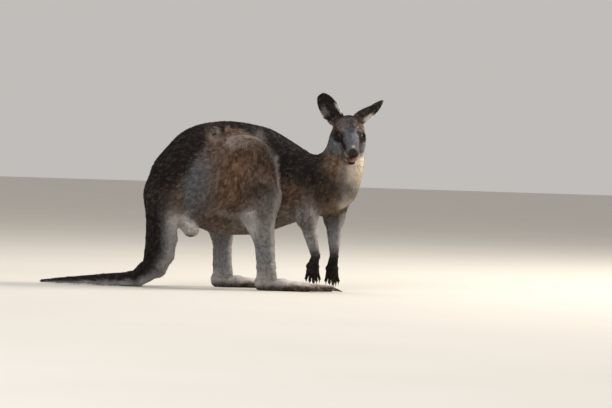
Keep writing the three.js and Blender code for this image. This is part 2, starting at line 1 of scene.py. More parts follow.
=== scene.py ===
# %% [markdown]
# # A life-size eastern grey kangaroo
# The animal stands on its long hind feet and its tail, and looks out to its right. A museum would sculpt the
# body, cover it with a skin, and comb a coat over it. This lesson does the same. One formula for the body's
# masses gives a single skin with no seam. Geometry Nodes then plant short tufts on it, along the lie of the
# coat.

import json
import math

import bmesh
import bpy
import numpy as np
from mathutils import Matrix, Vector

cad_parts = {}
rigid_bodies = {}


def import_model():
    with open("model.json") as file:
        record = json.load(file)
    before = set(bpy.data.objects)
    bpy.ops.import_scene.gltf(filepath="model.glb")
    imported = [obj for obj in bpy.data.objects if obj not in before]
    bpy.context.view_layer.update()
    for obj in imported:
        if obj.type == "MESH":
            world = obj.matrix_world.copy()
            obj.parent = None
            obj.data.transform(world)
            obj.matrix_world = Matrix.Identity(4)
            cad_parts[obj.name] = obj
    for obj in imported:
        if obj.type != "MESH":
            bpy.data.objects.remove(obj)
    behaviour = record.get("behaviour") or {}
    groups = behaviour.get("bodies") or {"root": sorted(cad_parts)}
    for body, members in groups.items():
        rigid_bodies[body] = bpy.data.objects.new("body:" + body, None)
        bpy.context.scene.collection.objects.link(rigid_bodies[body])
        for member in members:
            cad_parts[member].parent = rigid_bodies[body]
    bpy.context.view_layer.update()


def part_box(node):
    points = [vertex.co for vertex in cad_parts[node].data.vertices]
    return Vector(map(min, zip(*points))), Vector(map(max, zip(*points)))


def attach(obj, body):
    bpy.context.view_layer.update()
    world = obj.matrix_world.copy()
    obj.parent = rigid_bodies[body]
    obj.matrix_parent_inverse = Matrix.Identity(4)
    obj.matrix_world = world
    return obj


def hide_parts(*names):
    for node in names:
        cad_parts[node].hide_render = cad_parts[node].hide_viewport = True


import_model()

# %% [markdown]
# ## Places on the body
# Sculptors measure from a few landmarks. Here each landmark is in millimetres, with the floor at z = 0, +x
# the way the body faces and +y its left side. A small frame of three axes turns with the head, a hand or a
# foot, so that its parts can be placed by plain sizes.

# %% Small frames that turn with a part
def unit(v):
    v = np.asarray(v, float)
    return v / np.linalg.norm(v)


def degrees(angle):
    return math.radians(angle)


class Place:
    """An origin and three axes, forward, left and up, as the columns of a turn."""

    def __init__(self, origin, turn):
        self.origin = np.asarray(origin, float)
        self.turn = np.asarray(turn, float)

    def local(self, points):
        return (points - self.origin) @ self.turn

    def world(self, points):
        return np.asarray(points, float) @ self.turn.T + self.origin

    def direction(self, v):
        return self.turn @ np.asarray(v, float)


def turned(origin, heading, pitch=0, roll=0):
    ch, sh = math.cos(degrees(heading)), math.sin(degrees(heading))
    cp, sp = math.cos(degrees(-pitch)), math.sin(degrees(-pitch))
    cr, sr = math.cos(degrees(roll)), math.sin(degrees(roll))
    about_z = np.array([[ch, -sh, 0], [sh, ch, 0], [0, 0, 1]])
    about_y = np.array([[cp, 0, sp], [0, 1, 0], [-sp, 0, cp]])
    about_x = np.array([[1, 0, 0], [0, cr, -sr], [0, sr, cr]])
    return Place(origin, about_z @ about_y @ about_x)


def standing_along(origin, z, x):
    """A place whose up runs along z, with its forward axis as near as can be to x."""
    up = unit(z)
    left = unit(np.cross(up, x))
    return Place(origin, np.column_stack([np.cross(left, up), left, up]))


HEAD = turned((536, -75, 629), heading=-82, pitch=-17)  # origin midway between the eyes, x to the nose
HIP_HEADING = 18
EYE_RADIUS = 13.5
EYE_SPREAD = 38
EAR_LENGTH = 126
EAR_WIDTH = 76
SIDES = {"right": -1, "left": 1}
EARS = {
    "right": standing_along((484, -32, 682), (-0.57, 0.06, 0.82), (-0.25, -0.95, -0.1)),
    "left": standing_along((572, -24, 680), (0.75, 0.04, 0.66), (0.55, 0.42, -0.72)),
}

low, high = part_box("eye_right")
eye_in_frame = np.array((low + high) / 2)
SHIFT = eye_in_frame - HEAD.world([[2, -EYE_SPREAD, -1]])[0] / 1000


def to_frame(points):
    """Landmark millimetres to the frame's metres."""
    return np.asarray(points, float) / 1000 + SHIFT


print("the landmarks' origin lies at", SHIFT.round(4), "in the frame")

# %% [markdown]
# ## The body as one formula
# Muscles are round, and they melt into each other. A distance formula for a tapered capsule and one for an
# egg, and a soft join between two formulas, are enough to sculpt an animal. The formula gives the distance to
# the outside of the coat, so one number less gives the skin under it. Polygon modelling would also work, but
# then the skin, the coat's depth and the markings could not be worked out at any point of the body.

# %% Tapered capsules, eggs and soft joins
def taper(a, ra, b, rb, flat=1.0, side=(0, 1, 0)):
    """Distance to a capsule from radius ra at a to rb at b, `flat` times as wide along `side` as deep."""
    a, b = np.array(a, float), np.array(b, float)
    axis = b - a
    long2 = axis @ axis
    across = unit(side)
    across = unit(across - axis * (across @ axis) / long2)
    slope = ra - rb
    steep = long2 - slope * slope

    def field(p):
        m = p - a
        y = m @ axis
        s = m @ across
        reach2 = long2 * (long2 * ((m * m).sum(1) + s * s * (1 / flat**2 - 1)) - y * y)
        reach2 = np.maximum(reach2, 0)
        z = y - long2
        y2, z2 = y * y * long2, z * z * long2
        k = np.sign(slope) * slope * slope * reach2
        d = (np.sqrt(reach2 * steep / long2) + y * slope) / long2 - ra
        d = np.where(np.sign(y) * steep * y2 < k, np.sqrt(reach2 + y2) / long2 - ra, d)
        return np.where(np.sign(z) * steep * z2 > k, np.sqrt(reach2 + z2) / long2 - rb, d)

    return field


def egg(centre, radii, heading=0, pitch=0, roll=0):
    place = turned(centre, heading, pitch, roll)
    radii = np.array(radii, float)

    def field(p):
        q = place.local(p) / radii
        k = np.sqrt((q * q).sum(1))
        q /= radii
        return k * (k - 1) / np.maximum(np.sqrt((q * q).sum(1)), 1e-9)

    return field


def melt(a, b, k):
    h = np.clip(0.5 + 0.5 * (b - a) / k, 0, 1)
    return b * (1 - h) + a * h - k * h * (1 - h)


def join(k, *fields):
    def field(p):
        d = fields[0](p)
        for other in fields[1:]:
            d = melt(d, other(p), k)
        return d

    return field


def carve(body, k, *cuts):
    def field(p):
        d = body(p)
        for cut in cuts:
            d = -melt(-d, cut(p), k)
        return d

    return field


def seen_from(place, body):
    return lambda p: body(place.local(p))


def chain(stations, k):
    """Capsules through stations of [x, y, z, half depth, half width]."""
    links = []
    for a, b in zip(stations, stations[1:]):
        flat = (a[4] / a[3] + b[4] / b[3]) / 2
        links.append(taper(a[:3], a[3], b[:3], b[3], flat, (a[1] - b[1], b[0] - a[0], 0)))
    return join(k, *links)


# %% [markdown]
# ## Spine, legs and arms
# The spine is a chain of stations from the breast back to the tail's tip. A hind leg is three eggs for the
# thigh, and capsules down to the ankle. The left leg stands a step behind the right one. Both arms hang.

# %% Stations of the spine and the limbs
TRUNK = [
    (488, 6, 432, 82, 84),
    (412, 36, 422, 110, 98),
    (312, 54, 424, 134, 114),
    (225, 52, 431, 173, 126),
    (140, 38, 438, 210, 132),
    (50, 14, 444, 216, 134),
    (-20, -8, 452, 194, 132),
    (-110, -36, 420, 142, 112),
    (-180, -56, 368, 88, 88),
]
TAIL = [
    (-180, -56, 368, 88, 88),
    (-203, -64, 290, 64, 65),
    (-202, -68, 200, 63, 62),
    (-208, -70, 140, 60, 60),
    (-224, -73, 88, 50, 53),
    (-288, -77, 37, 35, 40),
    (-335, -80, 28, 29, 32),
    (-425, -83, 24, 26, 28),
    (-565, -80, 17, 19, 20),
    (-672, -70, 10, 12, 13),
]
NECK = [
    (470, 20, 430, 98, 88),
    (502, 8, 500, 88, 78),
    (519, 0, 560, 76, 68),
    (519, -2, 612, 70, 62),
]
VENT = [((-118, -42, 290), 44), ((-88, -38, 240), 34)]
LEGS = {
    "right": dict(side=-1, thigh=(118, -62, 442), seat=(6, -66, 372), knee=(208, -86, 372),
                  calf=(160, -82, 290), shin=(208, -92, 196), ankle=(222, -92, 58), heading=8),
    "left": dict(side=1, thigh=(34, 108, 432), seat=(-44, 74, 366), knee=(66, 128, 346),
                 calf=(-6, 118, 282), shin=(36, 126, 190), ankle=(42, 128, 58), heading=14),
}
ARMS = {
    "right": dict(side=-1, shoulder=(398, -34, 436), elbow=(374, -60, 300), wrist=(414, -18, 142),
                  hand=(404, -8, 100), heading=-66),
    "left": dict(side=1, shoulder=(470, 76, 424), elbow=(484, 96, 300), wrist=(489, 74, 146),
                 hand=(482, 66, 92), heading=-60),
}


def foot_of(leg):
    """The foot's place and field: a sole with the long toe, a short outer toe and the joined inner toes."""
    place = turned((leg["ankle"][0], leg["ankle"][1], 0), leg["heading"])
    s = leg["side"]
    ball = (150, 0, 17)
    sole = join(
        16,
        taper((-6, 0, 44), 38, (26, 0, 25), 24, 0.74),
        taper((-19, 0, 26), 27, (60, 0, 22), 24, 1.05),
        taper((60, 0, 22), 24, ball, 20, 1.3),
        taper(ball, 18, (258, 0, 14), 15, 1.1),
    )
    outer = taper((120, 24 * s, 14), 14, (196, 34 * s, 12), 11)
    inner = taper((110, -20 * s, 14), 12, (172, -26 * s, 11), 9)
    return place, seen_from(place, join(10, sole, outer, inner))


def leg_of(leg):
    lean = dict(heading=HIP_HEADING, roll=-6 * leg["side"])
    above = (leg["ankle"][0] - 4, leg["ankle"][1], leg["ankle"][2] + 40)
    thigh = join(
        70,
        egg(leg["thigh"], (142, 75, 174), **lean),
        egg(leg["seat"], (112, 58, 104), **lean),
        egg(leg["knee"], (54, 32, 74), **lean),
    )
    calf = join(
        30,
        taper(leg["knee"], 50, leg["shin"], 34, 0.84),
        taper(leg["calf"], 46, leg["shin"], 33, 0.78),
    )
    shank = join(
        5,
        calf,
        taper(leg["shin"], 40, above, 38.5, 0.7),
        taper(above, 38.5, leg["ankle"], 40, 0.7),
    )
    return thigh, shank


def upper_arm_of(arm):
    x, y, z = arm["shoulder"]
    return join(
        30,
        taper(arm["shoulder"], 70, arm["elbow"], 37, 0.8),
        taper((x + 12, y, z - 50), 58, arm["elbow"], 36, 0.8),
    )


FINGERS = [
    ((4 - abs(n) * 2, n * 9, -28 + abs(n) * 5), (11 - abs(n) * 4, n * 14.5, -60 + abs(n) * 6))
    for n in (-2, -1, 0, 1, 2)
]


def hand_of(arm):
    """The hand hangs: x forward over the fingers' backs, z up the wrist."""
    place = turned(arm["hand"], arm["heading"])
    wrist = place.local(np.array([arm["wrist"]], float))[0]
    palm = join(6, taper(wrist, 16.5, (0, 0, 0), 20, 1.1), taper((0, 0, 0), 20, (3, 0, -24), 19, 1.4))
    fingers = [taper(root, 8, tip, 6) for root, tip in FINGERS]
    return place, seen_from(place, join(5, palm, *fingers))


parts = {"trunk": chain(TRUNK, 40), "tail": chain(TAIL, 4), "neck": chain(NECK, 24)}
parts["vent"] = taper(*VENT[0], *VENT[1])
feet, hands = {}, {}
for name, leg in LEGS.items():
    parts[f"thigh_{name}"], parts[f"shank_{name}"] = leg_of(leg)
    feet[name], parts[f"foot_{name}"] = foot_of(leg)
for name, arm in ARMS.items():
    parts[f"upper_arm_{name}"] = upper_arm_of(arm)
    parts[f"forearm_{name}"] = taper(arm["elbow"], 37, arm["wrist"], 17, 0.92)
    hands[name], parts[f"hand_{name}"] = hand_of(arm)
print("masses so far:", ", ".join(parts))

# %% [markdown]
# ## The head
# A kangaroo's head is a long wedge: a round braincase, wide cheeks, a straight bridge and a soft muzzle over
# a small lower jaw. The eye sits deep under a brow, inside a ring of lid. The lid is a thin shell round the
# eyeball with an almond cut out of it, so it follows the ball as a real lid does. The mouth is a thin wedge.

# %% Skull, jaw, lids, mouth and nostrils
def both(make):
    return [make(-1), make(1)]


GAZE = {s: unit((0.52, s * 0.84, 0.1)) for s in (-1, 1)}  # where each eye points, in the head's own frame
EYE_AT = {s: np.array((2.0, s * EYE_SPREAD, -1.0)) for s in (-1, 1)}
MOUTH_CORNER = 38
LIP_SLOPE = 0.085
JAW_SLOPE = 0.4
LID_THICKNESS = 2.2

skull = join(
    16,
    egg((-44, 0, 12), (60, 59, 55)),
    taper((-8, 0, 10), 30, (72, 0, -22), 21, 1.06),
    taper((0, 0, -24), 46, (88, 0, -42), 25, 0.92),
    egg((100, 0, -36), (16, 22, 17)),
    *both(lambda s: egg((-30, s * 41, -34), (52, 30, 48))),
    *both(lambda s: taper((-26, s * 40, 18), 15, (12, s * 35, 12), 11)),
    *both(lambda s: egg((84, s * 14, -50), (22, 14, 14))),
)
jaw = join(
    12,
    taper((-40, 0, -60), 32, (28, 0, -76), 21, 1.3),
    taper((28, 0, -76), 21, (86, 0, -84), 12.5, 1.25),
)
sockets = both(lambda s: egg((6, s * 51, -1), (15, 11, 10)))
plain_head = carve(join(14, skull, jaw), 8, *sockets)


def mouth_gap(p):
    """The wedge between the lips, from the corner of the mouth forward."""
    ahead = p[:, 0] - MOUTH_CORNER
    under_lip = (p[:, 2] + 58 + LIP_SLOPE * ahead) / math.hypot(1, LIP_SLOPE)
    over_jaw = -(p[:, 2] + 58.5 + JAW_SLOPE * ahead) / math.hypot(1, JAW_SLOPE)
    return np.maximum(np.maximum(under_lip, over_jaw), -ahead)


def eye_up(s):
    """Up, square to one eye's gaze."""
    return unit(np.array((0, 0, 1)) - GAZE[s] * GAZE[s][2])


def lids(p):
    """Both eyes' lids: a shell over the ball, open in an almond that is longer than it is tall."""
    d = np.full(len(p), 1e3)
    for s in (-1, 1):
        m = p - EYE_AT[s]
        ball = np.sqrt((m * m).sum(1))
        out = m @ GAZE[s]
        up = eye_up(s)
        fore = np.cross(up, GAZE[s]) * -s
        along, height = m @ fore, m @ up
        height = height - 1.0 + 0.08 * along  # the inner corner sits lower
        almond = np.hypot(along / 13.4, height / 9.6) - 1
        opening = np.maximum(almond * 8.5, -out)
        d = np.minimum(d, np.maximum(ball - (EYE_RADIUS + LID_THICKNESS), -opening))
    return d


def eye_room(p):
    """The hollows that the eyeballs sit in."""
    return np.minimum(*[np.sqrt(((p - EYE_AT[s]) ** 2).sum(1)) - (EYE_RADIUS - 0.7) for s in (-1, 1)])


ear_roots = [seen_from(place, taper((-6, 0, -24), 24, (-12, 0, 2), 15)) for place in EARS.values()]
parts["head"] = join(16, seen_from(HEAD, plain_head), *ear_roots)
print("a head", EYE_SPREAD * 2, "mm wide between the eyes' centres")

# %% [markdown]
# ## One body
# The soft masses melt widely, the limbs less, and the hands least, as they do under a real skin.

# %% The whole coat, and the skin under it
FLOOR_GAP = 0.4
COAT_DEPTH = dict(trunk=9.0, tail=7.0, neck=9.0, vent=4.0, thigh=8.5, shank=5.5, foot=3.0, upper_arm=8.0,
                  forearm=4.5, hand=2.4, head=3.2)


def distances(p):
    return {name: field(p) for name, field in parts.items()}


def melt_all(k, values):
    d = values[0]
    for other in values[1:]:
        d = melt(d, other, k)
    return d


def coat_from(d):
    """The outside of the coat, from the distances to the masses."""
    soft = melt_all(44, [d["trunk"], d["tail"], d["neck"], d["upper_arm_right"], d["upper_arm_left"]])
    legs = [
        melt(melt(d[f"thigh_{side}"], d[f"shank_{side}"], 34), d[f"foot_{side}"], 5)
        for side in LEGS
    ]
    arms = [melt(d[f"forearm_{side}"], d[f"hand_{side}"], 4) for side in ARMS]
    return melt_all(22, [soft, d["vent"], d["head"], *legs, *arms])


def weights(d, softness):
    """How much each mass owns a point: 1 inside it, fading outside."""
    return {name: np.exp(-np.clip(value, 0, 400) / softness) for name, value in d.items()}


def kind_of(name):
    return name.replace("_right", "").replace("_left", "")


def blend_by(w, table):
    total = sum(w.values())
    return sum(w[name] * table[kind_of(name)] for name in w) / np.maximum(total, 1e-12)


def depth_from(p, d):
    """The coat's depth: thin on the face, and thinner still on the muzzle."""
    depth = blend_by(weights(d, 9), COAT_DEPTH)
    muzzle = np.clip((HEAD.local(p)[:, 0] - 20) / 60, 0, 1) * (d["head"] < 20)
    return depth * (1 - 0.55 * muzzle)


def skin(p):
    """The coat's outside less its depth, with lids, eye hollows and mouth, cut flat just over the floor."""
    d = distances(p)
    near = d["head"] < 30
    surface = coat_from(d) + depth_from(p, d)
    if near.any():
        local = HEAD.local(p)[near]
        s = surface[near]
        s = melt(s, lids(local), 2.5)
        s = -melt(-s, eye_room(local), 0.8)
        s = -melt(-s, mouth_gap(local), 3.0)
        surface[near] = s
    return np.maximum(surface, FLOOR_GAP - p[:, 2])


# %% [markdown]
# ## From formula to mesh
# A grid is laid over the body, and wherever the formula changes sign in a cell, the cell gets one vertex.
# Each grid edge that the surface crosses then joins four of those vertices into a face. This is called
# surface nets. A voxel remesh would give the same kind of mesh, but here every vertex is pushed on to the
# exact surface afterwards. The head, hands and feet get finer grids than the trunk.

# %% Surface nets
COARSE = 4  # the formula is first tried at every fourth grid point
NEAR_CELLS = 6.5  # and then at each point that may be this many cells from the surface
BATCH = 200000


def gradient(field, p, step=0.6):
    base = field(p)
    g = np.empty_like(p)
    for i in range(3):
        moved = p.copy()
        moved[:, i] += step
        g[:, i] = (field(moved) - base) / step
    return base, g


def settle(field, p, rounds=3):
    """Pushes points on to the surface where the field is nought."""
    for _ in range(rounds):
        d, g = gradient(field, p)
        steep = np.maximum((g * g).sum(1), 0.2)
        p = p - g * np.clip(d / steep, -4, 4)[:, None]
    return p


def surface_nets(field, lowest, highest, step):
    """Vertices and quads of the surface inside a box, closed where the box cuts it."""
    lowest = np.array(lowest, float)
    counts = np.ceil((np.array(highest, float) - lowest) / step / COARSE).astype(int) * COARSE + 1
    axes = [lowest[i] + step * np.arange(counts[i]) for i in range(3)]
    rough = np.stack(np.meshgrid(*[a[::COARSE] for a in axes], indexing="ij"), -1).reshape(-1, 3)
    rough_shape = [len(a[::COARSE]) for a in axes]
    coarse = field(rough).reshape(rough_shape)
    nearest = [np.clip((np.arange(n) + COARSE // 2) // COARSE, 0, m - 1) for n, m in zip(counts, rough_shape)]
    values = coarse[np.ix_(*nearest)]
    near = np.abs(values) < NEAR_CELLS * step
    at = np.argwhere(near)
    exact = np.empty(len(at))
    for first in range(0, len(at), BATCH):
        exact[first:first + BATCH] = field(lowest + step * at[first:first + BATCH])
    values[near] = exact
    for i in range(3):  # the box's own faces close the solid
        edge = [slice(None)] * 3
        for end in (0, -1):
            edge[i] = end
            values[tuple(edge)] = np.maximum(values[tuple(edge)], 0.01)
    inside = values < 0
    cells = counts - 1
    total = np.zeros((*cells, 3))
    hits = np.zeros(cells)
    for axis in range(3):
        a = [slice(None)] * 3
        b = [slice(None)] * 3
        a[axis], b[axis] = slice(0, -1), slice(1, None)
        va, vb = values[tuple(a)], values[tuple(b)]
        cross = (va < 0) != (vb < 0)
        t = np.where(cross, va / np.where(cross, va - vb, 1), 0)
        others = [i for i in range(3) if i != axis]
        for du in (0, 1):
            for dv in (0, 1):
                pick = [slice(None)] * 3
                pick[others[0]] = slice(du, du + cells[others[0]])
                pick[others[1]] = slice(dv, dv + cells[others[1]])
                c = cross[tuple(pick)]
                hits += c
                total[..., axis] += np.where(c, t[tuple(pick)], 0)
                total[..., others[0]] += np.where(c, du, 0)
                total[..., others[1]] += np.where(c, dv, 0)
    active = hits > 0
    number = np.full(cells, -1)
    number[active] = np.arange(active.sum())
    where = np.argwhere(active)
    points = lowest + step * (where + total[active] / hits[active][:, None])
    quads = []
    for axis in range(3):
        u, v = (axis + 1) % 3, (axis + 2) % 3
        a = [slice(1, -1)] * 3
        b = [slice(1, -1)] * 3
        a[axis], b[axis] = slice(0, -1), slice(1, None)
        ia, ib = inside[tuple(a)], inside[tuple(b)]
        found = np.argwhere(ia != ib)
        leaving = ia[ia != ib]
        found[:, u] += 1
        found[:, v] += 1
        step_u, step_v = np.zeros(3, int), np.zeros(3, int)
        step_u[u], step_v[v] = 1, 1
        ring = [found - step_u - step_v, found - step_v, found, found - step_u]
        quad = np.stack([number[tuple(r.T)] for r in ring], 1)
        quad[~leaving] = quad[~leaving][:, ::-1]
        quads.append(quad)
    return points, np.concatenate(quads)


def linked(name, data):
    thing = bpy.data.objects.new(name, data)
    bpy.context.scene.collection.objects.link(thing)
    return thing


def new_object(name, points, faces):
    mesh = bpy.data.meshes.new(name)
    mesh.from_pydata([tuple(p) for p in points], [], [tuple(int(i) for i in f) for f in faces])
    mesh.update()
    return linked(name, mesh)


# %% [markdown]
# ## Joining the fine pieces of skin to the coarse one
# The same formula is meshed six times, each time clipped to its own region: the head and neck, two hands,
# two feet, and all the rest. The finer pieces overlap the coarse one by 12 mm, and an exact union then makes
# them one skin.

# %% Regions of the skin, finer where the detail is
def beyond(origin, direction, margin=0.0):
    """A field that is negative on the far side of a plane."""
    origin, direction = np.array(origin, float), unit(direction)
    return lambda p: (origin - p) @ direction - margin


def box_round(place, low_corner, high_corner, margin=0.0):
    middle = (np.array(low_corner, float) + np.array(high_corner, float)) / 2
    half = (np.array(high_corner, float) - np.array(low_corner, float)) / 2 + margin
    return lambda p: (np.abs(place.local(p) - middle) - half).max(1)


NECK_PLANE = ((508, 0, 536), (0.3, -0.2, 0.93))
OVERLAP = 12.0
clips = {"head": (beyond(*NECK_PLANE, margin=OVERLAP), beyond(*NECK_PLANE))}
grids = {"head": ((420, -190, 440), (640, 110, 740), 2.6)}
# places, the box that parts them from the rest, the corners of their grid, and its step
REGIONS = {
    "hand": (hands, ((-60, -60, -90), (60, 60, 38)), (-62, -62, -80), (62, 62, 58), 2.4),
    "foot": (feet, ((-90, -80, -30), (300, 80, 70)), (-60, -55, -4), (285, 118, 90), 3.7),
}
for region, (places, corners, low_corner, high_corner, step) in REGIONS.items():
    for side, place in places.items():
        clips[f"{region}_{side}"] = (box_round(place, *corners, margin=OVERLAP), box_round(place, *corners))
        grids[f"{region}_{side}"] = (place.origin + low_corner, place.origin + high_corner, step)


def clipped_skin(region):
    inside_region = clips[region][0]
    return lambda p: np.maximum(skin(p), inside_region(p))


def rest_of_skin(p):
    d = skin(p)
    for _, region in clips.values():
        d = np.maximum(d, -region(p))
    return d


def settled_on_skin(points, region_field):
    """Only the vertices that lie on the skin itself are pushed, so that the flat cut faces stay flat."""
    d_skin, d_all = skin(points), region_field(points)
    free = np.abs(d_skin - d_all) < 1e-6
    moved = points.copy()
    moved[free] = settle(skin, points[free])
    return moved


skin_step = 7.0
pieces_of_skin = []
points, quads = surface_nets(rest_of_skin, (-694, -220, -7), (620, 220, 720), skin_step)
points = settled_on_skin(points, rest_of_skin)
body = new_object("skin", to_frame(points), quads)
print("trunk and limbs:", len(quads), "faces")
for region, (lowest, highest, step) in grids.items():
    field = clipped_skin(region)
    points, quads = surface_nets(field, lowest, highest, step * (1))
    points = settled_on_skin(points, field)
    pieces_of_skin.append(new_object(region, to_frame(points), quads))
    print(region, len(quads), "faces")


def evaluated(thing):
    """The mesh that a thing's modifiers make."""
    return bpy.data.meshes.new_from_object(thing.evaluated_get(bpy.context.evaluated_depsgraph_get()))


def join_exactly(whole, piece):
    tool = whole.modifiers.new("join", "BOOLEAN")
    tool.operation = "UNION"
    tool.solver = "MANIFOLD"
    tool.object = piece
    made = evaluated(whole)
    whole.modifiers.remove(tool)
    whole.data = made
    bpy.data.objects.remove(piece)


for piece in pieces_of_skin:
    join_exactly(body, piece)
print("one skin:", len(body.data.vertices), "vertices,", len(body.data.polygons), "faces")

# %% [markdown]
# ## Ears
# An ear is a thin leaf of gristle, rolled into a scoop and set on a fleshy root. Its formula gives every
# point from a height along the leaf and an angle round the roll. Two such leaves, a wall's thickness apart
# and joined at the rim, make a closed shell. A flat plane with a Solidify modifier would do too, but this
# keeps the rim round. A union can leave two faces on the same corners, so the last step mends those.

# %% Rolled leaves for the ears
EAR_WALL = 3.0
EAR_ARCH = 9
WIDEST = 0.46
TIP_POINT = {"right": 0.48, "left": 0.85}


def leaf_width(v, point):
    """How wide the leaf is at a height v, as a share of its widest; `point` sharpens its tip."""
    above = np.maximum(1 - ((v - WIDEST) / 0.56) ** 2, 0) ** point
    below = 1 - 0.42 * ((WIDEST - v) / WIDEST) ** 2
    return np.where(v > WIDEST, above, below)


def roll_at(v, side):
    """The leaf's curl, in radians to each side, and the radius of its roll."""
    half = EAR_WIDTH / 2 * np.maximum(leaf_width(np.maximum(v, 0), TIP_POINT[side]), 0.05)
    curl = 2 - 1.2 * np.clip(1.5 * v, 0, 1)
    return curl, half / np.sin(np.minimum(curl, math.pi / 2))


def leaf_points(v, a, lift, side):
    curl, r = roll_at(v, side)
    middle = r * np.cos(curl) - EAR_ARCH * v * v
    return np.stack([middle - (r + lift) * np.cos(a), (r + lift) * np.sin(a), EAR_LENGTH * v + 0 * a], -1)


def ear_shell(side):
    tall, wide = ((50, 36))
    heights = -0.16 + 1.155 * np.sin(np.linspace(0, math.pi / 2, tall))
    rows = []
    for v in heights:
        curl, _ = roll_at(v, side)
        wall = EAR_WALL / 2 * (1 - 0.5 * max(v, 0))
        a = np.linspace(-1, 1, wide)
        edge = np.sqrt(np.maximum(1 - a**6, 0))
        outside = leaf_points(v, a * curl, wall * edge, side)
        inside = leaf_points(v, a[::-1] * curl, -wall * edge, side)
        rows.append(np.concatenate([outside, inside[1:-1]]))
    rows = np.array(rows)
    place = EARS[side]
    return place.world(rows.reshape(-1, 3)).reshape(rows.shape)


def ringed(rings, start, end):
    """A closed tube through rings of points, with a point at each end."""
    count, around = rings.shape[:2]
    points = np.concatenate([rings.reshape(-1, 3), [start, end]])
    faces = []
    for i in range(count - 1):
        for j in range(around):
            k = (j + 1) % around
            faces.append((i * around + j, i * around + k, (i + 1) * around + k, (i + 1) * around + j))
    last = (count - 1) * around
    for j in range(around):
        k = (j + 1) % around
        faces.append((count * around, k, j))
        faces.append((count * around + 1, last + j, last + k))
    return points, faces


def closed_object(name, shells):
    """One object from closed shells of landmark points, with every face turned outward."""
    points, faces, first = [], [], 0
    for shell_points, shell_faces in shells:
        points.append(shell_points)
        faces += [tuple(i + first for i in f) for f in shell_faces]
        first += len(shell_points)
    thing = new_object(name, to_frame(np.concatenate(points)), faces)
    mesh = bmesh.new()
    mesh.from_mesh(thing.data)
    bmesh.ops.recalc_face_normals(mesh, faces=mesh.faces)
    mesh.to_mesh(thing.data)
    mesh.free()
    thing.data.shade_smooth()
    return thing


for side in EARS:
    rings = ear_shell(side)
    ear = closed_object(f"ear_{side}_shell", [ringed(rings, rings[0].mean(0), rings[-1].mean(0))])
    print("ear", side, len(ear.data.polygons), "faces, tip at", rings[-1].mean(0).round())
    join_exactly(body, ear)


def split_twins(thing):
    """Where a union leaves two faces on the same corners, cuts one of them along its other diagonal."""
    mesh = bmesh.new()
    mesh.from_mesh(thing.data)
    seen, twins = set(), []
    for face in mesh.faces:
        corners = frozenset(v.index for v in face.verts)
        if corners in seen:
            twins.append(face)
        seen.add(corners)
    bmesh.ops.triangulate(mesh, faces=twins)
    open_edges = sum(not e.is_manifold for e in mesh.edges)
    mesh.to_mesh(thing.data)
    mesh.free()
    return len(twins), open_edges, thing.data.validate()


print("twin faces, open edges, and still invalid:", *split_twins(body))
body.data.shade_smooth()
print("skin with ears:", len(body.data.polygons), "faces")

# %% [markdown]
# ## Eyes
# A kangaroo's eye is a dark ball that shows almost no white, and its cornea swells a little out of it. The
# ball is turned on a lathe whose axis is the gaze, so that its rings follow the iris and the pupil.

# %% Eyeballs with a cornea
BALL_RADIUS = EYE_RADIUS - 0.55
CORNEA = 0.9


def once_round(count):
    return np.linspace(0, 2 * math.pi, count, endpoint=False)


def eyeball(s):
    up = eye_up(s)
    fore = np.cross(up, GAZE[s])
    turn = once_round(48)
    around = np.outer(np.cos(turn), fore) + np.outer(np.sin(turn), up)
    rows = []
    for angle in np.linspace(0, math.pi, 40)[1:-1]:
        r = BALL_RADIUS + CORNEA * ramp(0.62, 0.2, angle)
        rows.append(EYE_AT[s] + r * (math.cos(angle) * GAZE[s] + math.sin(angle) * around))
    ends = [EYE_AT[s] + (BALL_RADIUS + CORNEA) * GAZE[s], EYE_AT[s] - BALL_RADIUS * GAZE[s]]
    points, faces = ringed(np.array(rows), *ends)
    return HEAD.world(points), faces


def ramp(low, high, x):
    """0 at low, 1 at high, with a soft start and end."""
    t = np.clip((x - low) / (high - low), 0, 1)
    return t * t * (3 - 2 * t)


def store(thing, name, values, kind="FLOAT"):
    """Keeps one number or vector for each vertex, for the shader or the coat."""
    layer = thing.data.attributes.new(name, kind, "POINT")
    layer.data.foreach_set("value" if kind == "FLOAT" else "vector", np.asarray(values, np.float32).ravel())


def corners_of(thing):
    points = np.empty(len(thing.data.vertices) * 3, np.float32)
    thing.data.vertices.foreach_get("co", points)
    return points.reshape(-1, 3).astype(float)


def landmarks_of(thing):
    return (corners_of(thing) - SHIFT) * 1000


eyes = {}
for side, s in SIDES.items():
    eye = closed_object(f"eye_{side}_ball", [eyeball(s)])
    m = HEAD.local(landmarks_of(eye)) - EYE_AT[s]
    store(eye, "off_gaze", np.arccos(np.clip(m @ GAZE[s] / np.linalg.norm(m, axis=1), -1, 1)))
    eyes[side] = eye
print("eyes:", {side: len(eye.data.polygons) for side, eye in eyes.items()})

# %% [markdown]
# ## Nose, tongue and claws
# The nose pad is bare, damp skin with two comma-shaped nostrils, so it gets its own small formula and a fine
# grid. The tongue is a flat pad with a groove, seen between the lips. The claws are horn: long, curved and
# tapered, with one great claw on each hind foot. Swept rings make each of them.

# %% Nose pad and tongue
nostrils = both(lambda s: taper((119, s * 5.5, -37), 2.8, (113, s * 12, -31), 2.6))
nostril_tails = both(lambda s: taper((113, s * 12, -31), 2.4, (104, s * 17.5, -30), 0.8))
groove = taper((120, 0, -31), 1.6, (116, 0, -50), 1.8)
pad = carve(egg((109.5, 0, -33.5), (8.6, 17, 11.5)), 1.5, *nostrils, *nostril_tails, groove)
points, quads = surface_nets(pad, (97, -21, -48), (121, 21, -19), 0.8)
nose = new_object("nose_pad", to_frame(HEAD.world(settle(pad, points))), quads)
nose.data.shade_smooth()

TONGUE_AT = turned((78, 0, -74), 0, -14)
TONGUE_HALVES = (24, 10.5, 4.2)  # half its length, width and thickness


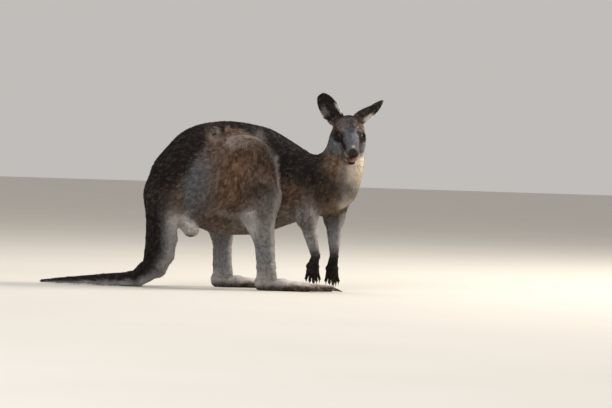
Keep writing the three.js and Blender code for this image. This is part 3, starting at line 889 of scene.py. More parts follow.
def tongue_pad():
    long, wide, thick = TONGUE_HALVES
    turn = once_round(28)
    rows = []
    for angle in np.linspace(0, math.pi, 22)[1:-1]:
        swell = math.sin(angle) ** 0.7
        x = -long * math.cos(angle) * np.ones_like(turn)
        y = wide * swell * np.cos(turn)
        z = thick * swell * np.sin(turn)
        z = z - 1.3 * np.exp(-(y / 2.2) ** 2) * (z > 0)
        rows.append(HEAD.world(TONGUE_AT.world(np.stack([x, y, z], 1))))
    return ringed(np.array(rows), *HEAD.world(TONGUE_AT.world([(-long, 0, 0), (long, 0, 0)])))


tongue = closed_object("tongue_pad", [tongue_pad()])
print("nose:", len(nose.data.polygons), "tongue:", len(tongue.data.polygons))


# %% Claws
def claw(place, root, length, radius, drop, pitch):
    """A horn that bends down by `drop` and ends in a blunt point."""
    own = turned(root, 0, pitch)
    turn = once_round(18)
    rows = []
    for t in np.linspace(-0.35, 0.97, 16):
        r = radius * (1 - 0.9 * max(t, 0) ** 1.3)
        y = 0.75 * r * np.cos(turn)
        z = r * np.sin(turn) + 0.12 * r * np.cos(turn) ** 2 - drop * max(t, 0) ** 2
        rows.append(place.world(own.world(np.stack([np.full_like(turn, length * t), y, z], 1))))
    tip = place.world(own.world([(length, 0, -drop)]))[0]
    return ringed(np.array(rows), rows[0].mean(0), tip)


claws = {}
for side, place in hands.items():
    horns = [claw(place, (tip[0] + 1, tip[1], tip[2] - 3), 18, 3.6, 4, -80) for _, tip in FINGERS]
    claws[f"hand_{side}"] = closed_object(f"claws_hand_{side}", horns)
for side, place in feet.items():
    s = LEGS[side]["side"]
    shapes = [
        ((264, 0, 14), 44, 8, 5),
        ((200, 34 * s, 12), 24, 5.5, 4),
        ((174, -22 * s, 10), 15, 3.2, 3),
        ((174, -30 * s, 10), 15, 3.2, 3),
    ]
    horns = [claw(place, *shape, -8) for shape in shapes]
    claws[f"foot_{side}"] = closed_object(f"claws_foot_{side}", horns)
print("claws:", {name: len(thing.data.polygons) for name, thing in claws.items()})

# %% [markdown]
# ## Finishes
# Each finish is a small tree of shader nodes. A thin Python wrapper round a socket lets the trees be
# written as sums: `1 - mask` adds a maths node. Colours are given as they look on a screen and turned to
# linear light.

# %% A wrapper for shader sockets
def colour(code):
    """A screen colour such as #6b5546 in linear light."""
    parts_of_code = [int(code[i:i + 2], 16) / 255 for i in (1, 3, 5)]
    return tuple(c / 12.92 if c <= 0.04045 else ((c + 0.055) / 1.055) ** 2.4 for c in parts_of_code)


class Wire:
    """An output socket that can be added, multiplied and raised."""

    def __init__(self, finish, socket):
        self.finish, self.socket = finish, socket

    def maths(self, operation, *others):
        return self.finish.node("ShaderNodeMath", dict(operation=operation), (self, *others))

    def __add__(self, other):
        return self.maths("ADD", other)

    def __mul__(self, other):
        return self.maths("MULTIPLY", other)

    __radd__, __rmul__ = __add__, __mul__

    def __sub__(self, other):
        return self.maths("SUBTRACT", other)

    def __rsub__(self, other):
        return self.finish.node("ShaderNodeMath", dict(operation="SUBTRACT"), (other, self))

    def __pow__(self, other):
        return self.maths("POWER", other)

    def between(self, low, high):
        """0 at low and 1 at high, smoothly."""
        settings = dict(interpolation_type="SMOOTHSTEP", clamp=True)
        inputs = {"Value": self, "From Min": low, "From Max": high}
        return self.finish.node("ShaderNodeMapRange", settings, inputs)


class Finish:
    """A material, with methods that add the nodes it needs."""

    def __init__(self, name):
        self.material = bpy.data.materials.new(name)
        self.material.use_nodes = True
        self.tree = self.material.node_tree
        self.tree.nodes.clear()

    def node(self, kind, settings=None, inputs=None, output=0):
        made = self.tree.nodes.new(kind)
        for key, value in (settings or {}).items():
            setattr(made, key, value)
        items = inputs.items() if isinstance(inputs, dict) else enumerate(inputs or ())
        for key, value in items:
            socket = made.inputs[key]
            if isinstance(value, Wire):
                self.tree.links.new(value.socket, socket)
            elif isinstance(value, tuple) and socket.type == "RGBA":
                socket.default_value = (*value, 1)
            else:
                socket.default_value = value
        return Wire(self, made.outputs[output]) if len(made.outputs) else None

    def kept(self, name):
        """A number kept on the mesh."""
        settings = dict(attribute_type="GEOMETRY", attribute_name=name)
        return self.node("ShaderNodeAttribute", settings, output=2)

    def place(self):
        return self.node("ShaderNodeTexCoord", output=3)

    def noise(self, size, detail=3.0, stretch=None):
        """Noise whose cells are about `size` metres across."""
        at = self.place()
        if stretch:
            at = self.node("ShaderNodeVectorMath", dict(operation="MULTIPLY"), (at, stretch))
        return self.node("ShaderNodeTexNoise", None, {"Vector": at, "Scale": 1 / size, "Detail": detail})

    def mix(self, a, b, amount):
        inputs = {"Factor": amount, 6: a, 7: b}
        return self.node("ShaderNodeMix", dict(data_type="RGBA"), inputs, output=2)

    def bump(self, height, distance, strength=1.0):
        inputs = {"Height": height, "Distance": distance, "Strength": strength}
        return self.node("ShaderNodeBump", None, inputs)

    def surface(self, base, roughness, normal=None, **constants):
        inputs = {"Base Color": base, "Roughness": roughness, **constants}
        if normal is not None:
            inputs["Normal"] = normal
        shader = self.node("ShaderNodeBsdfPrincipled", None, inputs)
        self.node("ShaderNodeOutputMaterial", None, {"Surface": shader})
        return self.material


print("a wrapper for", Wire.__name__, "and", Finish.__name__)

# %% [markdown]
# Eye, nose, tongue and claw are bare, so their look comes from fine relief and from how wet or dull each is.
# The iris is a brown ring round a wide pupil, with fine flecks.

# %% Eye, nose, tongue and claw
def eye_finish():
    paint = Finish("dark wet eye")
    off = paint.kept("off_gaze")
    flecks = paint.noise(0.0012)
    iris = paint.mix(colour("#180c06"), colour("#3c2011"), flecks.between(0.3, 0.7))
    ring = paint.mix(iris, colour("#0c0705"), off.between(0.78, 0.95))
    ball = paint.mix(ring, colour("#1c1210"), off.between(1.05, 1.2))
    base = paint.mix(colour("#020101"), ball, off.between(0.4, 0.5))
    return paint.surface(base, 0.06, **{"Coat Weight": 0.2, "Coat Roughness": 0.03, "IOR": 1.33})


def nose_finish():
    paint = Finish("damp nose skin")
    pebbles = paint.node("ShaderNodeTexVoronoi", None, {"Vector": paint.place(), "Scale": 900.0})
    base = paint.mix(colour("#080606"), colour("#171211"), paint.noise(0.004))
    gloss = {"Coat Weight": 0.05, "Specular IOR Level": 0.22}
    return paint.surface(base, 0.5, paint.bump(pebbles, 0.0004, 0.8), **gloss)


def tongue_finish():
    paint = Finish("wet tongue")
    base = paint.mix(colour("#823f3d"), colour("#9f5953"), paint.noise(0.003))
    buds = paint.noise(0.0008)
    return paint.surface(base, 0.3, paint.bump(buds, 0.0003), **{"Subsurface Weight": 0.15})


def claw_finish():
    paint = Finish("claw horn")
    grain = paint.noise(0.0015, stretch=(0.3, 1.0, 1.0))
    base = paint.mix(colour("#1d1917"), colour("#5c5046"), grain.between(0.3, 0.8))
    return paint.surface(base, 0.36, paint.bump(grain, 0.0004), **{"Coat Weight": 0.2})


EYE, NOSE, TONGUE, CLAW = eye_finish(), nose_finish(), tongue_finish(), claw_finish()
for piece, finish in ((nose, NOSE), (tongue, TONGUE), *[(e, EYE) for e in eyes.values()],
                      *[(c, CLAW) for c in claws.values()]):
    piece.data.materials.append(finish)
print("finishes:", ", ".join(m.name for m in (EYE, NOSE, TONGUE, CLAW)))

# %% [markdown]
# ## Where the coat is dark, pale and rusty
# A grey kangaroo is not one grey. Its back and the top of its tail are nearly black, its thighs and flanks
# are rusty brown, and its cheeks, chest and shins are pale. Painting these by hand would need a texture. Here
# each marking is a soft formula over the body, kept as a number on every vertex, so skin and hairs share it.
# A few marks also paint light and shade: a bright rim down the chest and the thighs' fronts, shade ahead of
# and low on each thigh, a highlight above the nose, and a cool skylight in the blue grey.

# %% Soft marks
# Dark, pale, rusty, and a blue grey that is partly painted cool skylight.
MARKS = ("dark", "pale", "rust", "cool")


def spot(p, centre, radii, heading=0, pitch=0):
    """1 at a place, and 0 outside an egg round it."""
    q = turned(centre, heading, pitch).local(p) / np.array(radii, float)
    return ramp(1.0, 0.3, np.sqrt((q * q).sum(1)))


def stroke(p, a, b, reach):
    """1 along a line, and 0 beyond its reach."""
    a, b = np.array(a, float), np.array(b, float)
    t = np.clip((p - a) @ (b - a) / ((b - a) @ (b - a)), 0, 1)
    return ramp(reach, 0.35 * reach, np.linalg.norm(p - a - t[:, None] * (b - a), axis=1))


def nearest_on(line, p):
    """The nearest place on a line of points: how far along it, where, and which way it runs there."""
    line = np.array(line, float)[:, :3]
    best = np.full(len(p), 1e12)
    along, foot, way = np.zeros(len(p)), np.zeros_like(p), np.zeros_like(p)
    run = 0.0
    last = len(line) - 2
    for i, (a, b) in enumerate(zip(line, line[1:])):
        length = np.linalg.norm(b - a)
        u = (b - a) / length
        t = (p - a) @ u
        t = np.clip(t, -1e9 if i == 0 else 0, 1e9 if i == last else length)
        at = a + t[:, None] * u
        d = ((p - at) ** 2).sum(1)
        closer = d < best
        best[closer], along[closer], foot[closer], way[closer] = d[closer], run + t[closer], at[closer], u
        run += length
    return along, foot, way


def mixed(*marks):
    """Marks laid over each other, never above 1."""
    left = 1.0
    for mark in marks:
        left = left * (1 - np.clip(mark, 0, 1))
    return 1 - left


def forward_of(p, line):
    """How squarely each point lies in front of a line: 1 right before it, -1 right behind."""
    _, foot, _ = nearest_on(line, p)
    return (p - foot)[:, 0] / np.maximum(np.linalg.norm(p - foot, axis=1), 1e-6)


# %% Markings of the body
SPINE = sorted((x, y, z, deep) for x, y, z, deep, _ in TRUNK)
SPINE_X = [s[0] for s in SPINE]


def spine_at(x, column):
    return np.interp(x, SPINE_X, [s[column] for s in SPINE])


def outer_side(p, side_sign):
    """0 up to the spine, and 1 from 30 mm beyond it on one side."""
    return ramp(0, 30, (p[:, 1] - spine_at(p[:, 0], 1)) * side_sign)


def body_marks(p, w, own):
    """Dark, pale, rusty and blue-grey shares of the coat away from the head, with some painted light and
    shade.
    """
    x, y, z = p.T
    below = spine_at(x, 2) + spine_at(x, 3) - z
    depth = np.interp(x, [-200, -80, 60, 160, 300, 430], [125, 104, 12, 24, 96, 150])
    back = ramp(1.9 * depth, 0.35 * depth, below)
    _, foot, way = nearest_on(TAIL, p)
    behind = np.cross((0.0, 1.0, 0.0), way)
    behind /= np.linalg.norm(behind, axis=1)[:, None]
    out = p - foot
    side = (out * behind).sum(1) / np.maximum(np.linalg.norm(out, axis=1), 1e-6)
    tail_dark = ramp(-0.85, 0.55, side)
    trunk = w["trunk"] + 0.1 * w["neck"] + 0.8 * w["upper_arm"] + 0.8 * w["thigh"]
    dark = mixed(
        trunk * back,
        w["tail"] * tail_dark,
        0.6 * w["trunk"] * spot(p, (270, 0, 510), (110, 260, 90)),
        0.95 * (w["trunk"] + w["neck"] + w["upper_arm"]) * spot(p, (362, 0, 545), (130, 320, 72)),
        (w["hand"] + w["forearm"]) * ramp(205, 102, z),
        0.15 * w["forearm"],
        0.35 * w["foot"] * ramp(26, 10, z),
        0.8 * spot(p, (-92, -40, 208), (34, 60, 24)),
        0.8 * w["neck"] * ramp(-10, 50, y) * ramp(540, 500, x),
    )
    belly = ramp(0.45, 0.95, (spine_at(x, 2) - z) / spine_at(x, 3))
    pale = mixed(
        0.6 * w["tail"] * (1 - tail_dark),
        0.3 * w["trunk"] * belly,
        1.5 * w["vent"] * ramp(208, 236, z),
        0.8 * spot(p, (-128, -66, 292), (72, 80, 84)),
        0.85 * w["foot"] * ramp(12, 34, z),
        # A bright stroke down the front of the chest: partly the chest's own cream, and partly a painted rim
        # of light.
        1.5 * (w["trunk"] + w["neck"] + w["upper_arm"]) * stroke(p, (588, -46, 590), (566, -34, 350), 70),
        0.3 * (w["trunk"] + w["neck"]) * stroke(p, (560, -80, 560), (536, -90, 380), 74),
        0.3 * w["neck"] * ramp(540, 600, z) * ramp(30, -10, y),
        0.3 * w["neck"] * ramp(560, 480, z),
    )
    rust = mixed(
        0.8 * w["trunk"] * spot(p, (320, 0, 440), (110, 260, 120)),
        0.75 * (w["trunk"] + w["upper_arm"]) * spot(p, (450, 0, 430), (110, 200, 120)),
        0.9 * w["neck"] * ramp(590, 520, z),
        0.6 * stroke(p, (585, -40, 540), (556, -6, 350), 80),
        0.4 * w["trunk"] * spot(p, (100, 0, 625), (150, 300, 70)),
    )
    # A blue grey: partly the coat's own grey, and partly painted cool skylight as on a side in shade.
    cool = mixed(
        0.5 * w["tail"],
        0.8 * w["forearm"],
        0.75 * w["shank"],
        0.7 * w["neck"] * ramp(540, 590, z) * ramp(30, -10, y),
    )
    for leg_side, leg in LEGS.items():
        thigh, shank = own[f"thigh_{leg_side}"], own[f"shank_{leg_side}"]
        q = p - np.array(leg["thigh"], float)
        q[:, 1] = 0
        # The pale arc over the thigh's top and down its front edge: partly the coat's own pale rim, and
        # partly a painted highlight where light would catch the thigh.
        arc = mixed(
            0.45 * stroke(q, (-40, 0, 150), (70, 0, 176), 36),
            0.55 * stroke(q, (70, 0, 172), (132, 0, 90), 28),
            0.8 * stroke(q, (138, 0, 90), (152, 0, -110), 16),
            0.5 * stroke(q, (-112, 0, -112), (-10, 0, -140), 18),
        )
        whorl = spot(q, (-120, 0, 168), (46, 1, 40))
        # Dark low on the thigh's front: partly dark brown hair, and partly painted shade on the thigh's lower
        # side.
        low_brown_and_shade = spot(q, (72, 0, -34), (92, 1, 56))
        high_patch = spot(q, (80, 0, 100), (66, 1, 70))
        on_hip = np.clip(thigh + 0.8 * own["trunk"] * (np.abs(q[:, 0]) < 220), 0, 1)
        near_side = outer_side(p, leg["side"])
        # Painted shade on the flank just ahead of the thigh's front edge, where the thigh stands proud.
        shade_ahead_of_thigh = 0.6 * own["trunk"] * near_side * stroke(q, (168, 0, 100), (176, 0, -70), 26)
        dark = mixed(dark, 0.7 * thigh * low_brown_and_shade, 0.45 * thigh * high_patch, shade_ahead_of_thigh)
        dark = dark * (1 - 0.75 * on_hip * near_side * mixed(arc, 0.7 * whorl))
        pale = mixed(pale, 0.72 * on_hip * near_side * arc, 0.34 * near_side * whorl)
        rust = mixed(rust, 0.7 * thigh * spot(q, (-62, 0, 4), (104, 1, 150)), 0.6 * near_side * whorl)
        rust = mixed(rust, 0.5 * thigh * spot(q, (-10, 0, 90), (90, 1, 90)))
        cool = mixed(cool, 0.85 * on_hip * near_side * spot(q, (-232, 0, -10), (165, 1, 220)))
        fore = forward_of(p, BONES[f"shank_{leg_side}"])
        edges = mixed(ramp(0.55, 0.95, fore), 0.8 * ramp(-0.5, -0.95, fore) * ramp(190, 260, z))
        pale = mixed(pale, shank * (0.34 + 0.5 * edges), 0.6 * shank * spot(q, (24, 0, -128), (60, 1, 34)))
        rust = mixed(rust, 0.6 * shank * (1 - edges) * ramp(180, 260, z))
    for arm_side in ARMS:
        arm = own[f"forearm_{arm_side}"] + 0.15 * own[f"upper_arm_{arm_side}"]
        fore = forward_of(p, BONES[f"forearm_{arm_side}"])
        pale = mixed(pale, 0.9 * arm * ramp(0.35, 0.85, fore) * ramp(150, 220, z), 0.45 * arm)
    return dark, pale, rust, cool


# %% Markings of the head and the ears
def face_marks(h):
    """The same four shares on the head, in its own frame."""
    m = np.stack([h[:, 0], np.abs(h[:, 1]), h[:, 2]], 1)
    dark = mixed(
        0.95 * spot(m, (-66, 0, 56), (58, 60, 40)),
        spot(m, (10, 50, -3), (46, 34, 30)),
        spot(m, (8, 48, -3), (36, 34, 27)),
        stroke(m, (22, 44, -12), (76, 29, -34), 18),
        0.5 * stroke(m, (-24, 44, 12), (-70, 44, 40), 20),
        spot(m, (114, 0, -42), (26, 30, 28)),
        0.9 * stroke(m, (112, 0, -46), (104, 0, -62), 9),
        0.85 * spot(m, (92, 0, -88), (24, 24, 10)),
        0.35 * stroke(m, (30, 0, 30), (-30, 0, 66), 24),
    )
    pale = mixed(
        0.36 * spot(m, (-14, 62, -52), (96, 52, 56)),
        0.16 * stroke(m, (50, 0, 8), (96, 0, -16), 26),
        # A bright spot on the bridge above the nose: partly pale hair, and partly a painted highlight.
        0.95 * spot(m, (100, 0, -20), (11, 9, 9)),
        0.9 * stroke(m, (48, 30, -54), (100, 17, -50), 13),
        0.8 * spot(m, (60, 12, -92), (46, 24, 16)),
        0.15 * stroke(m, (24, 40, 16), (-10, 42, 26), 8),
    )
    rust = mixed(
        0.7 * spot(m, (-34, 0, -96), (60, 60, 34)),
        0.15 * stroke(m, (0, 26, 36), (60, 18, 4), 16),
    )
    # Blue grey on cheeks, bridge and brow: partly grey hair, and partly painted cool skylight.
    cool = mixed(
        spot(m, (-14, 60, -50), (110, 60, 70)),
        0.75 * stroke(m, (34, 0, 14), (96, 0, -16), 40),
        0.3 * stroke(m, (30, 0, 14), (-30, 0, 50), 60),
    )
    return dark, pale, rust, cool


def ear_places(p, side):
    """Height up the ear, place round its roll from -1 to 1, and how far behind the leaf's middle."""
    q = EARS[side].local(p)
    v = q[:, 2] / EAR_LENGTH
    curl, r = roll_at(np.clip(v, 0, 0.99), side)
    middle = r * np.cos(curl) - EAR_ARCH * v * v
    a = np.arctan2(q[:, 1], -(q[:, 0] - middle))
    return v, a / curl, np.hypot(q[:, 0] - middle, q[:, 1]) - r


def on_ear(p, side):
    v, round_it, lift = ear_places(p, side)
    near = (np.abs(lift) < 4.5) & (v > 0.1) & (v < 1.1) & (np.abs(round_it) < 1.6)
    return near.astype(float)


def ear_marks(p, side):
    v, round_it, lift = ear_places(p, side)
    inside = (lift < 0).astype(float)
    inner = round_it if side == "right" else -round_it  # above 0 towards the crown
    rim = mixed(ramp(0.7, 0.98, np.abs(round_it)), ramp(0.9, 1.0, v))
    tuft = inside * ramp(0.3, 0.75, inner) * ramp(0.62, 0.3, v)
    smoke = inside * ramp(0.0, -0.5, inner) * ramp(0.85, 0.5, v) * ramp(0.1, 0.4, v)
    dark = mixed(
        0.92 * inside * (1 - tuft) * (1 - 0.5 * smoke),
        0.75 * (1 - inside),
        0.6 * rim * ramp(0.45, 0.7, v),
    )
    start = -0.45 if side == "right" else -0.42
    fringe = (1 - inside) * mixed(
        ramp(start, start - 0.45, inner) * ramp(0.75, 0.4, v),
        ramp(0.55, 0.85, inner) * ramp(0.6, 0.35, v) * ramp(0.04, 0.16, v),
    )
    pale = mixed(tuft, 0.4 * smoke, 0.95 * fringe)
    dark = dark * (1 - 0.95 * fringe)
    return dark, pale, 0.25 * (1 - inside), 0 * v


# %% [markdown]
# ## Which way the hair lies
# Hair lies from the nose to the tail and from the top of each limb to its end. Each mass of the body has its
# own direction, and they are blended in the same way as the coat's depth. At the back of each thigh the hair
# turns in a whorl. The direction is then laid flat on the skin.

# %% The lie of the coat
def limb_way(line):
    return lambda p: nearest_on(line, p)[2]


def fixed_way(v):
    v = unit(v)
    return lambda p: np.tile(v, (len(p), 1))


LIES = {
    "trunk": fixed_way((-1, 0, -0.5)),
    "tail": limb_way(TAIL),
    "neck": fixed_way((-0.5, 0.1, -0.85)),
    "vent": fixed_way((0.1, 0, -1)),
    "head": fixed_way(HEAD.direction((-1, 0, -0.12))),
}
BONES = {"trunk": TRUNK, "tail": TAIL, "neck": NECK[::-1], "vent": [VENT[0][0], VENT[1][0]]}
BONES["head"] = HEAD.world([(112, 0, -48), (20, 0, -20), (-60, 0, 0), (-104, 0, 0)])
for side, leg in LEGS.items():
    tx, ty, tz = leg["thigh"]
    kx, ky, kz = leg["knee"]
    BONES[f"thigh_{side}"] = [(tx - 30, ty, tz + 150), leg["thigh"], (kx - 30, ky, kz - 60)]
    BONES[f"shank_{side}"] = [leg["knee"], leg["shin"], leg["ankle"]]
    BONES[f"foot_{side}"] = feet[side].world([(-30, 0, 30), (60, 0, 22), (258, 0, 14)])
    LIES[f"thigh_{side}"] = fixed_way((-0.3, 0, -1))
    LIES[f"shank_{side}"] = limb_way(BONES[f"shank_{side}"])
    LIES[f"foot_{side}"] = fixed_way(feet[side].direction((1, 0, -0.15)))
for side, arm in ARMS.items():
    BONES[f"upper_arm_{side}"] = [arm["shoulder"], arm["elbow"]]
    BONES[f"forearm_{side}"] = [arm["elbow"], arm["wrist"]]
    BONES[f"hand_{side}"] = hands[side].world([(0, 0, 40), (4, 0, -20), (10, 0, -60)])
    for bone in ("upper_arm", "forearm", "hand"):
        LIES[f"{bone}_{side}"] = limb_way(BONES[f"{bone}_{side}"])

# length, width and height of a tuft in millimetres, and tufts per square centimetre
SIZES = ("tuft_length", "tuft_width", "tuft_height", "tufts")
TUFTS = {
    "trunk": (28, 4.4, 9.5, 13),
    "tail": (20, 3.4, 8.0, 16),
    "neck": (22, 3.4, 9.5, 18),
    "vent": (14, 2.8, 4.5, 22),
    "thigh": (25, 3.8, 9.0, 14),
    "shank": (16, 3.0, 6.0, 20),
    "foot": (10, 2.4, 3.4, 26),
    "upper_arm": (22, 3.4, 8.0, 17),
    "forearm": (15, 2.8, 5.0, 24),
    "hand": (8, 2.0, 2.7, 36),
    "head": (9, 1.9, 3.6, 42),
}
EAR_TUFTS = {"plain": (7, 1.6, 1.8, 48), "woolly": (13, 1.8, 3.5, 60)}


# %% Marks and lie kept on the skin
p = landmarks_of(body)
normals = np.empty(len(p) * 3, np.float32)
body.data.vertices.foreach_get("normal", normals)
normals = normals.reshape(-1, 3).astype(float)
d = distances(p)
raw = weights(d, 14)
total = sum(raw.values())
w = {name: value / total for name, value in raw.items()}
kinds = {kind: sum(w[n] for n in w if kind_of(n) == kind) for kind in COAT_DEPTH}
lie = sum(w[name][:, None] * LIES[name](p) for name in w)
for side, leg in LEGS.items():
    x_off, z_off = p[:, 0] - leg["thigh"][0] + 120, p[:, 2] - leg["thigh"][2] - 168
    outer = outer_side(p, leg["side"])
    round_whorl = np.stack([z_off, 0 * z_off, -x_off], 1) / np.maximum(np.hypot(x_off, z_off), 1)[:, None]
    lie += round_whorl * (1.8 * outer * ramp(75, 25, np.hypot(x_off, z_off)))[:, None]
ears = {side: on_ear(p, side) for side in EARS}
for side, place in EARS.items():
    lie = np.where(ears[side][:, None] > 0, place.direction((0, 0, 1)), lie)
lie -= (lie * normals).sum(1)[:, None] * normals
lie /= np.maximum(np.linalg.norm(lie, axis=1), 1e-9)[:, None]
h = HEAD.local(p)
on_head = ramp(0.25, 0.75, kinds["head"])
marks = []
for on_body, on_face in zip(body_marks(p, kinds, w), face_marks(h)):
    marks.append(on_body * (1 - on_head) + on_face * on_head)
for side in EARS:
    marks = [np.where(ears[side] > 0, e, m) for e, m in zip(ear_marks(p, side), marks)]
for name, mark in zip(MARKS, marks):
    store(body, name, np.clip(mark, 0, 1))
    print(name, "covers", round(float(np.mean(mark)), 2), "of the skin's vertices")
store(body, "lie", lie, "FLOAT_VECTOR")

# %% [markdown]
# ## Skin and coat
# Under the coat lies short woolly underfur, dark between the locks. A lock is darker at its root, and its
# tip is often pale: that is the grizzle. Skin and locks read the same four marks, so they agree wherever a
# lock parts.

# %% Coat and underfur
def pelt_colour(paint, grizzle):
    dark, pale, rust, cool = (paint.kept(name) for name in MARKS)
    streaks = paint.noise(0.02, detail=5.0, stretch=(1.0, 1.0, 0.4))
    base = paint.mix(colour("#5f4a3d"), colour("#7d6757"), streaks.between(0.35, 0.65))
    base = paint.mix(base, paint.mix(colour("#694730"), colour("#977253"), streaks.between(0.35, 0.65)), rust)
    # The blue grey is partly the coat's own grey and partly painted cool skylight.
    base = paint.mix(base, colour("#6a7684"), cool * 0.95)
    light = paint.mix(colour("#d3cfcc"), colour("#fff0dc"), rust)
    base = paint.mix(base, light, (pale + grizzle * 0.36 - 0.18).between(0.0, 1.0))
    return paint.mix(base, colour("#221917"), (dark + grizzle * 0.3 - 0.15).between(0.0, 0.9))


def coat_finish():
    paint = Finish("combed coat")
    along, tint = paint.kept("along"), paint.kept("tint")
    patches = paint.noise(0.035)
    base = pelt_colour(paint, patches)
    pale = paint.kept("pale")
    tips = (1 - tint).between(0.5, 1.0) * along.between(0.35, 1.0)
    tips = tips * (1 - paint.kept("dark") * 0.75) * (1 - pale * 0.8)
    base = paint.mix(base, colour("#1a1412"), tint.between(0.5, 1.0) * 0.5 * (1 - pale * 0.75))
    base = paint.mix(base, colour("#c9bdae"), tips * 0.5)
    base = paint.mix(base, colour("#1a1412"), (1 - along).between(0.35, 1.0) * 0.65 * (1 - pale * 0.5))
    return paint.surface(base, 0.62 + 0.2 * tint, **{"Specular IOR Level": 0.22})


def underfur_finish():
    paint = Finish("skin and underfur")
    fine = paint.noise(0.0025, detail=4.0)
    base = pelt_colour(paint, paint.noise(0.035))
    base = paint.mix(base, colour("#17110f"), 0.3 + 0.3 * fine)
    return paint.surface(base, 0.85, paint.bump(fine, 0.0015, 0.7))


COAT, UNDERFUR = coat_finish(), underfur_finish()
body.data.materials.clear()
body.data.materials.append(UNDERFUR)
print("coat finishes:", COAT.name, "and", UNDERFUR.name)

# %% Size and number of tufts, kept on the skin
sizes = {}
for i, size in enumerate(SIZES):
    sizes[size] = sum(kinds[kind] * TUFTS[kind][i] for kind in TUFTS)
muzzle = on_head * ramp(10, 95, h[:, 0])
sizes["tuft_length"] *= 1 - 0.55 * muzzle
sizes["tuft_width"] *= 1 - 0.35 * muzzle
sizes["tuft_height"] *= 1 - 0.55 * muzzle
sizes["tufts"] *= 1 + 0.5 * muzzle
tail_end = kinds["tail"] * ramp(-250, -560, p[:, 0])
sizes["tuft_length"] *= 1 - 0.5 * tail_end
sizes["tuft_height"] *= 1 - 0.6 * tail_end
for side in EARS:
    v, _, lift = ear_places(p, side)
    inner = (lift < 0) & (v < 0.5)
    for size, plain, woolly in zip(SIZES, *EAR_TUFTS.values()):
        sizes[size] = np.where(ears[side] > 0, np.where(inner, woolly, plain), sizes[size])
bare = np.zeros(len(p))
for s in (-1, 1):
    m = h - EYE_AT[s]
    round_eye = ramp(EYE_RADIUS + 5.5, EYE_RADIUS + 3.6, np.linalg.norm(m, axis=1))
    bare = np.maximum(bare, round_eye * (m @ GAZE[s] > 0))
bare = np.maximum(bare, ramp(6, 3, pad(h)))
inside_mouth = ramp(1.5, -0.5, mouth_gap(h)) * (d["head"] < 8)
bare = np.maximum(bare, inside_mouth)
under_sole = np.maximum(ramp(3.0, 1.0, p[:, 2]), ramp(10.0, 5.0, p[:, 2]) * ramp(-0.1, -0.5, normals[:, 2]))
sizes["tufts"] *= (1 - bare) * (1 - under_sole)
for size, values in sizes.items():
    scale = 1e4 if size == "tufts" else 1e-3
    store(body, size, np.maximum(values, 0) * scale)
    print(size, "from", round(float(values.min()), 1), "to", round(float(values.max()), 1))

# %% [markdown]
# ## One tuft
# A tuft is a lock of a few dozen hairs that cling together. It is closed and has six faces: a root sunk in
# the skin, a ridge and two edges along its middle, and a tip. Each corner has a place on a small square
# patch, so that a baked picture of the coat keeps the tuft's own shading from root to tip.

# %% A lock of hairs
def lock():
    points = [(0, 0, -0.12), (0.42, -0.5, 0.16), (0.42, 0, 0.62), (0.42, 0.5, 0.16), (1, 0, 0.8)]
    ring = (1, 2, 3)
    faces, patch = [], []
    for i in range(3):
        a, b = ring[i], ring[(i + 1) % 3]
        left, right = i / 3, (i + 1) / 3
        faces += [(0, a, b), (4, b, a)]
        patch += [((left + right) / 2, 0), (left, 0.42), (right, 0.42)]
        patch += [((left + right) / 2, 1), (right, 0.42), (left, 0.42)]
    mesh = bpy.data.meshes.new("lock")
    mesh.from_pydata(points, [], faces)
    along = mesh.attributes.new("along", "FLOAT", "POINT")
    along.data.foreach_set("value", [0, 0.42, 0.42, 0.42, 1])
    square = mesh.attributes.new("patch", "FLOAT2", "CORNER")
    square.data.foreach_set("vector", np.array(patch, np.float32).ravel())
    check = bmesh.new()
    check.from_mesh(mesh)
    if check.calc_volume(signed=True) < 0:
        raise ValueError("the lock's faces look inward")
    check.free()
    mesh.shade_smooth()
    return linked("lock", mesh)


lock_of_hairs = lock()
print("a lock has", len(lock_of_hairs.data.polygons), "faces")

# %% [markdown]
# ## Planting and combing
# A coat needs about a quarter of a million tufts, so nodes plant them: scatter points on the skin, turn a
# tuft at each point to the lie of the coat, and give it its own size and swing. Hair curves would look finer,
# but a solid tuft goes with the model wherever it is used. The chance values come from a seed, so each run is
# the same.

# %% The combing nodes
class Nodes:
    """A Geometry Nodes tree, with one method that adds a node and joins its inputs."""

    def __init__(self, name):
        self.tree = bpy.data.node_groups.new(name, "GeometryNodeTree")
        self.tree.interface.new_socket("Coat", in_out="OUTPUT", socket_type="NodeSocketGeometry")
        self.ids = {}

    def size(self, name, kind, value=None):
        socket = self.tree.interface.new_socket(name, in_out="INPUT", socket_type=f"NodeSocket{kind}")
        if value is not None:
            socket.default_value = value
        self.ids[name] = socket.identifier

    def add(self, kind, settings=None, inputs=None, output=0):
        made = self.tree.nodes.new(kind)
        for key, value in (settings or {}).items():
            setattr(made, key, value)
        for key, value in (inputs or {}).items():
            if hasattr(value, "is_output"):
                self.tree.links.new(value, made.inputs[key])
            else:
                made.inputs[key].default_value = value
        return made.outputs[output]

    def kept(self, name, kind="FLOAT"):
        return self.add("GeometryNodeInputNamedAttribute", dict(data_type=kind), {"Name": name})

    def times(self, a, b):
        return self.add("ShaderNodeMath", dict(operation="MULTIPLY"), {0: a, 1: b})

    def chance(self, low, high, seed, number):
        """A value of its own for each tuft."""
        shifted = self.add("ShaderNodeMath", dict(operation="ADD"), {0: seed, 1: number})
        inputs = {2: low, 3: high, "Seed": shifted}
        return self.add("FunctionNodeRandomValue", dict(data_type="FLOAT"), inputs, 1)

    def keep(self, geometry, name, value, kind="FLOAT", domain="POINT"):
        inputs = {"Geometry": geometry, "Name": name, "Value": value}
        return self.add("GeometryNodeStoreNamedAttribute", dict(data_type=kind, domain=domain), inputs)


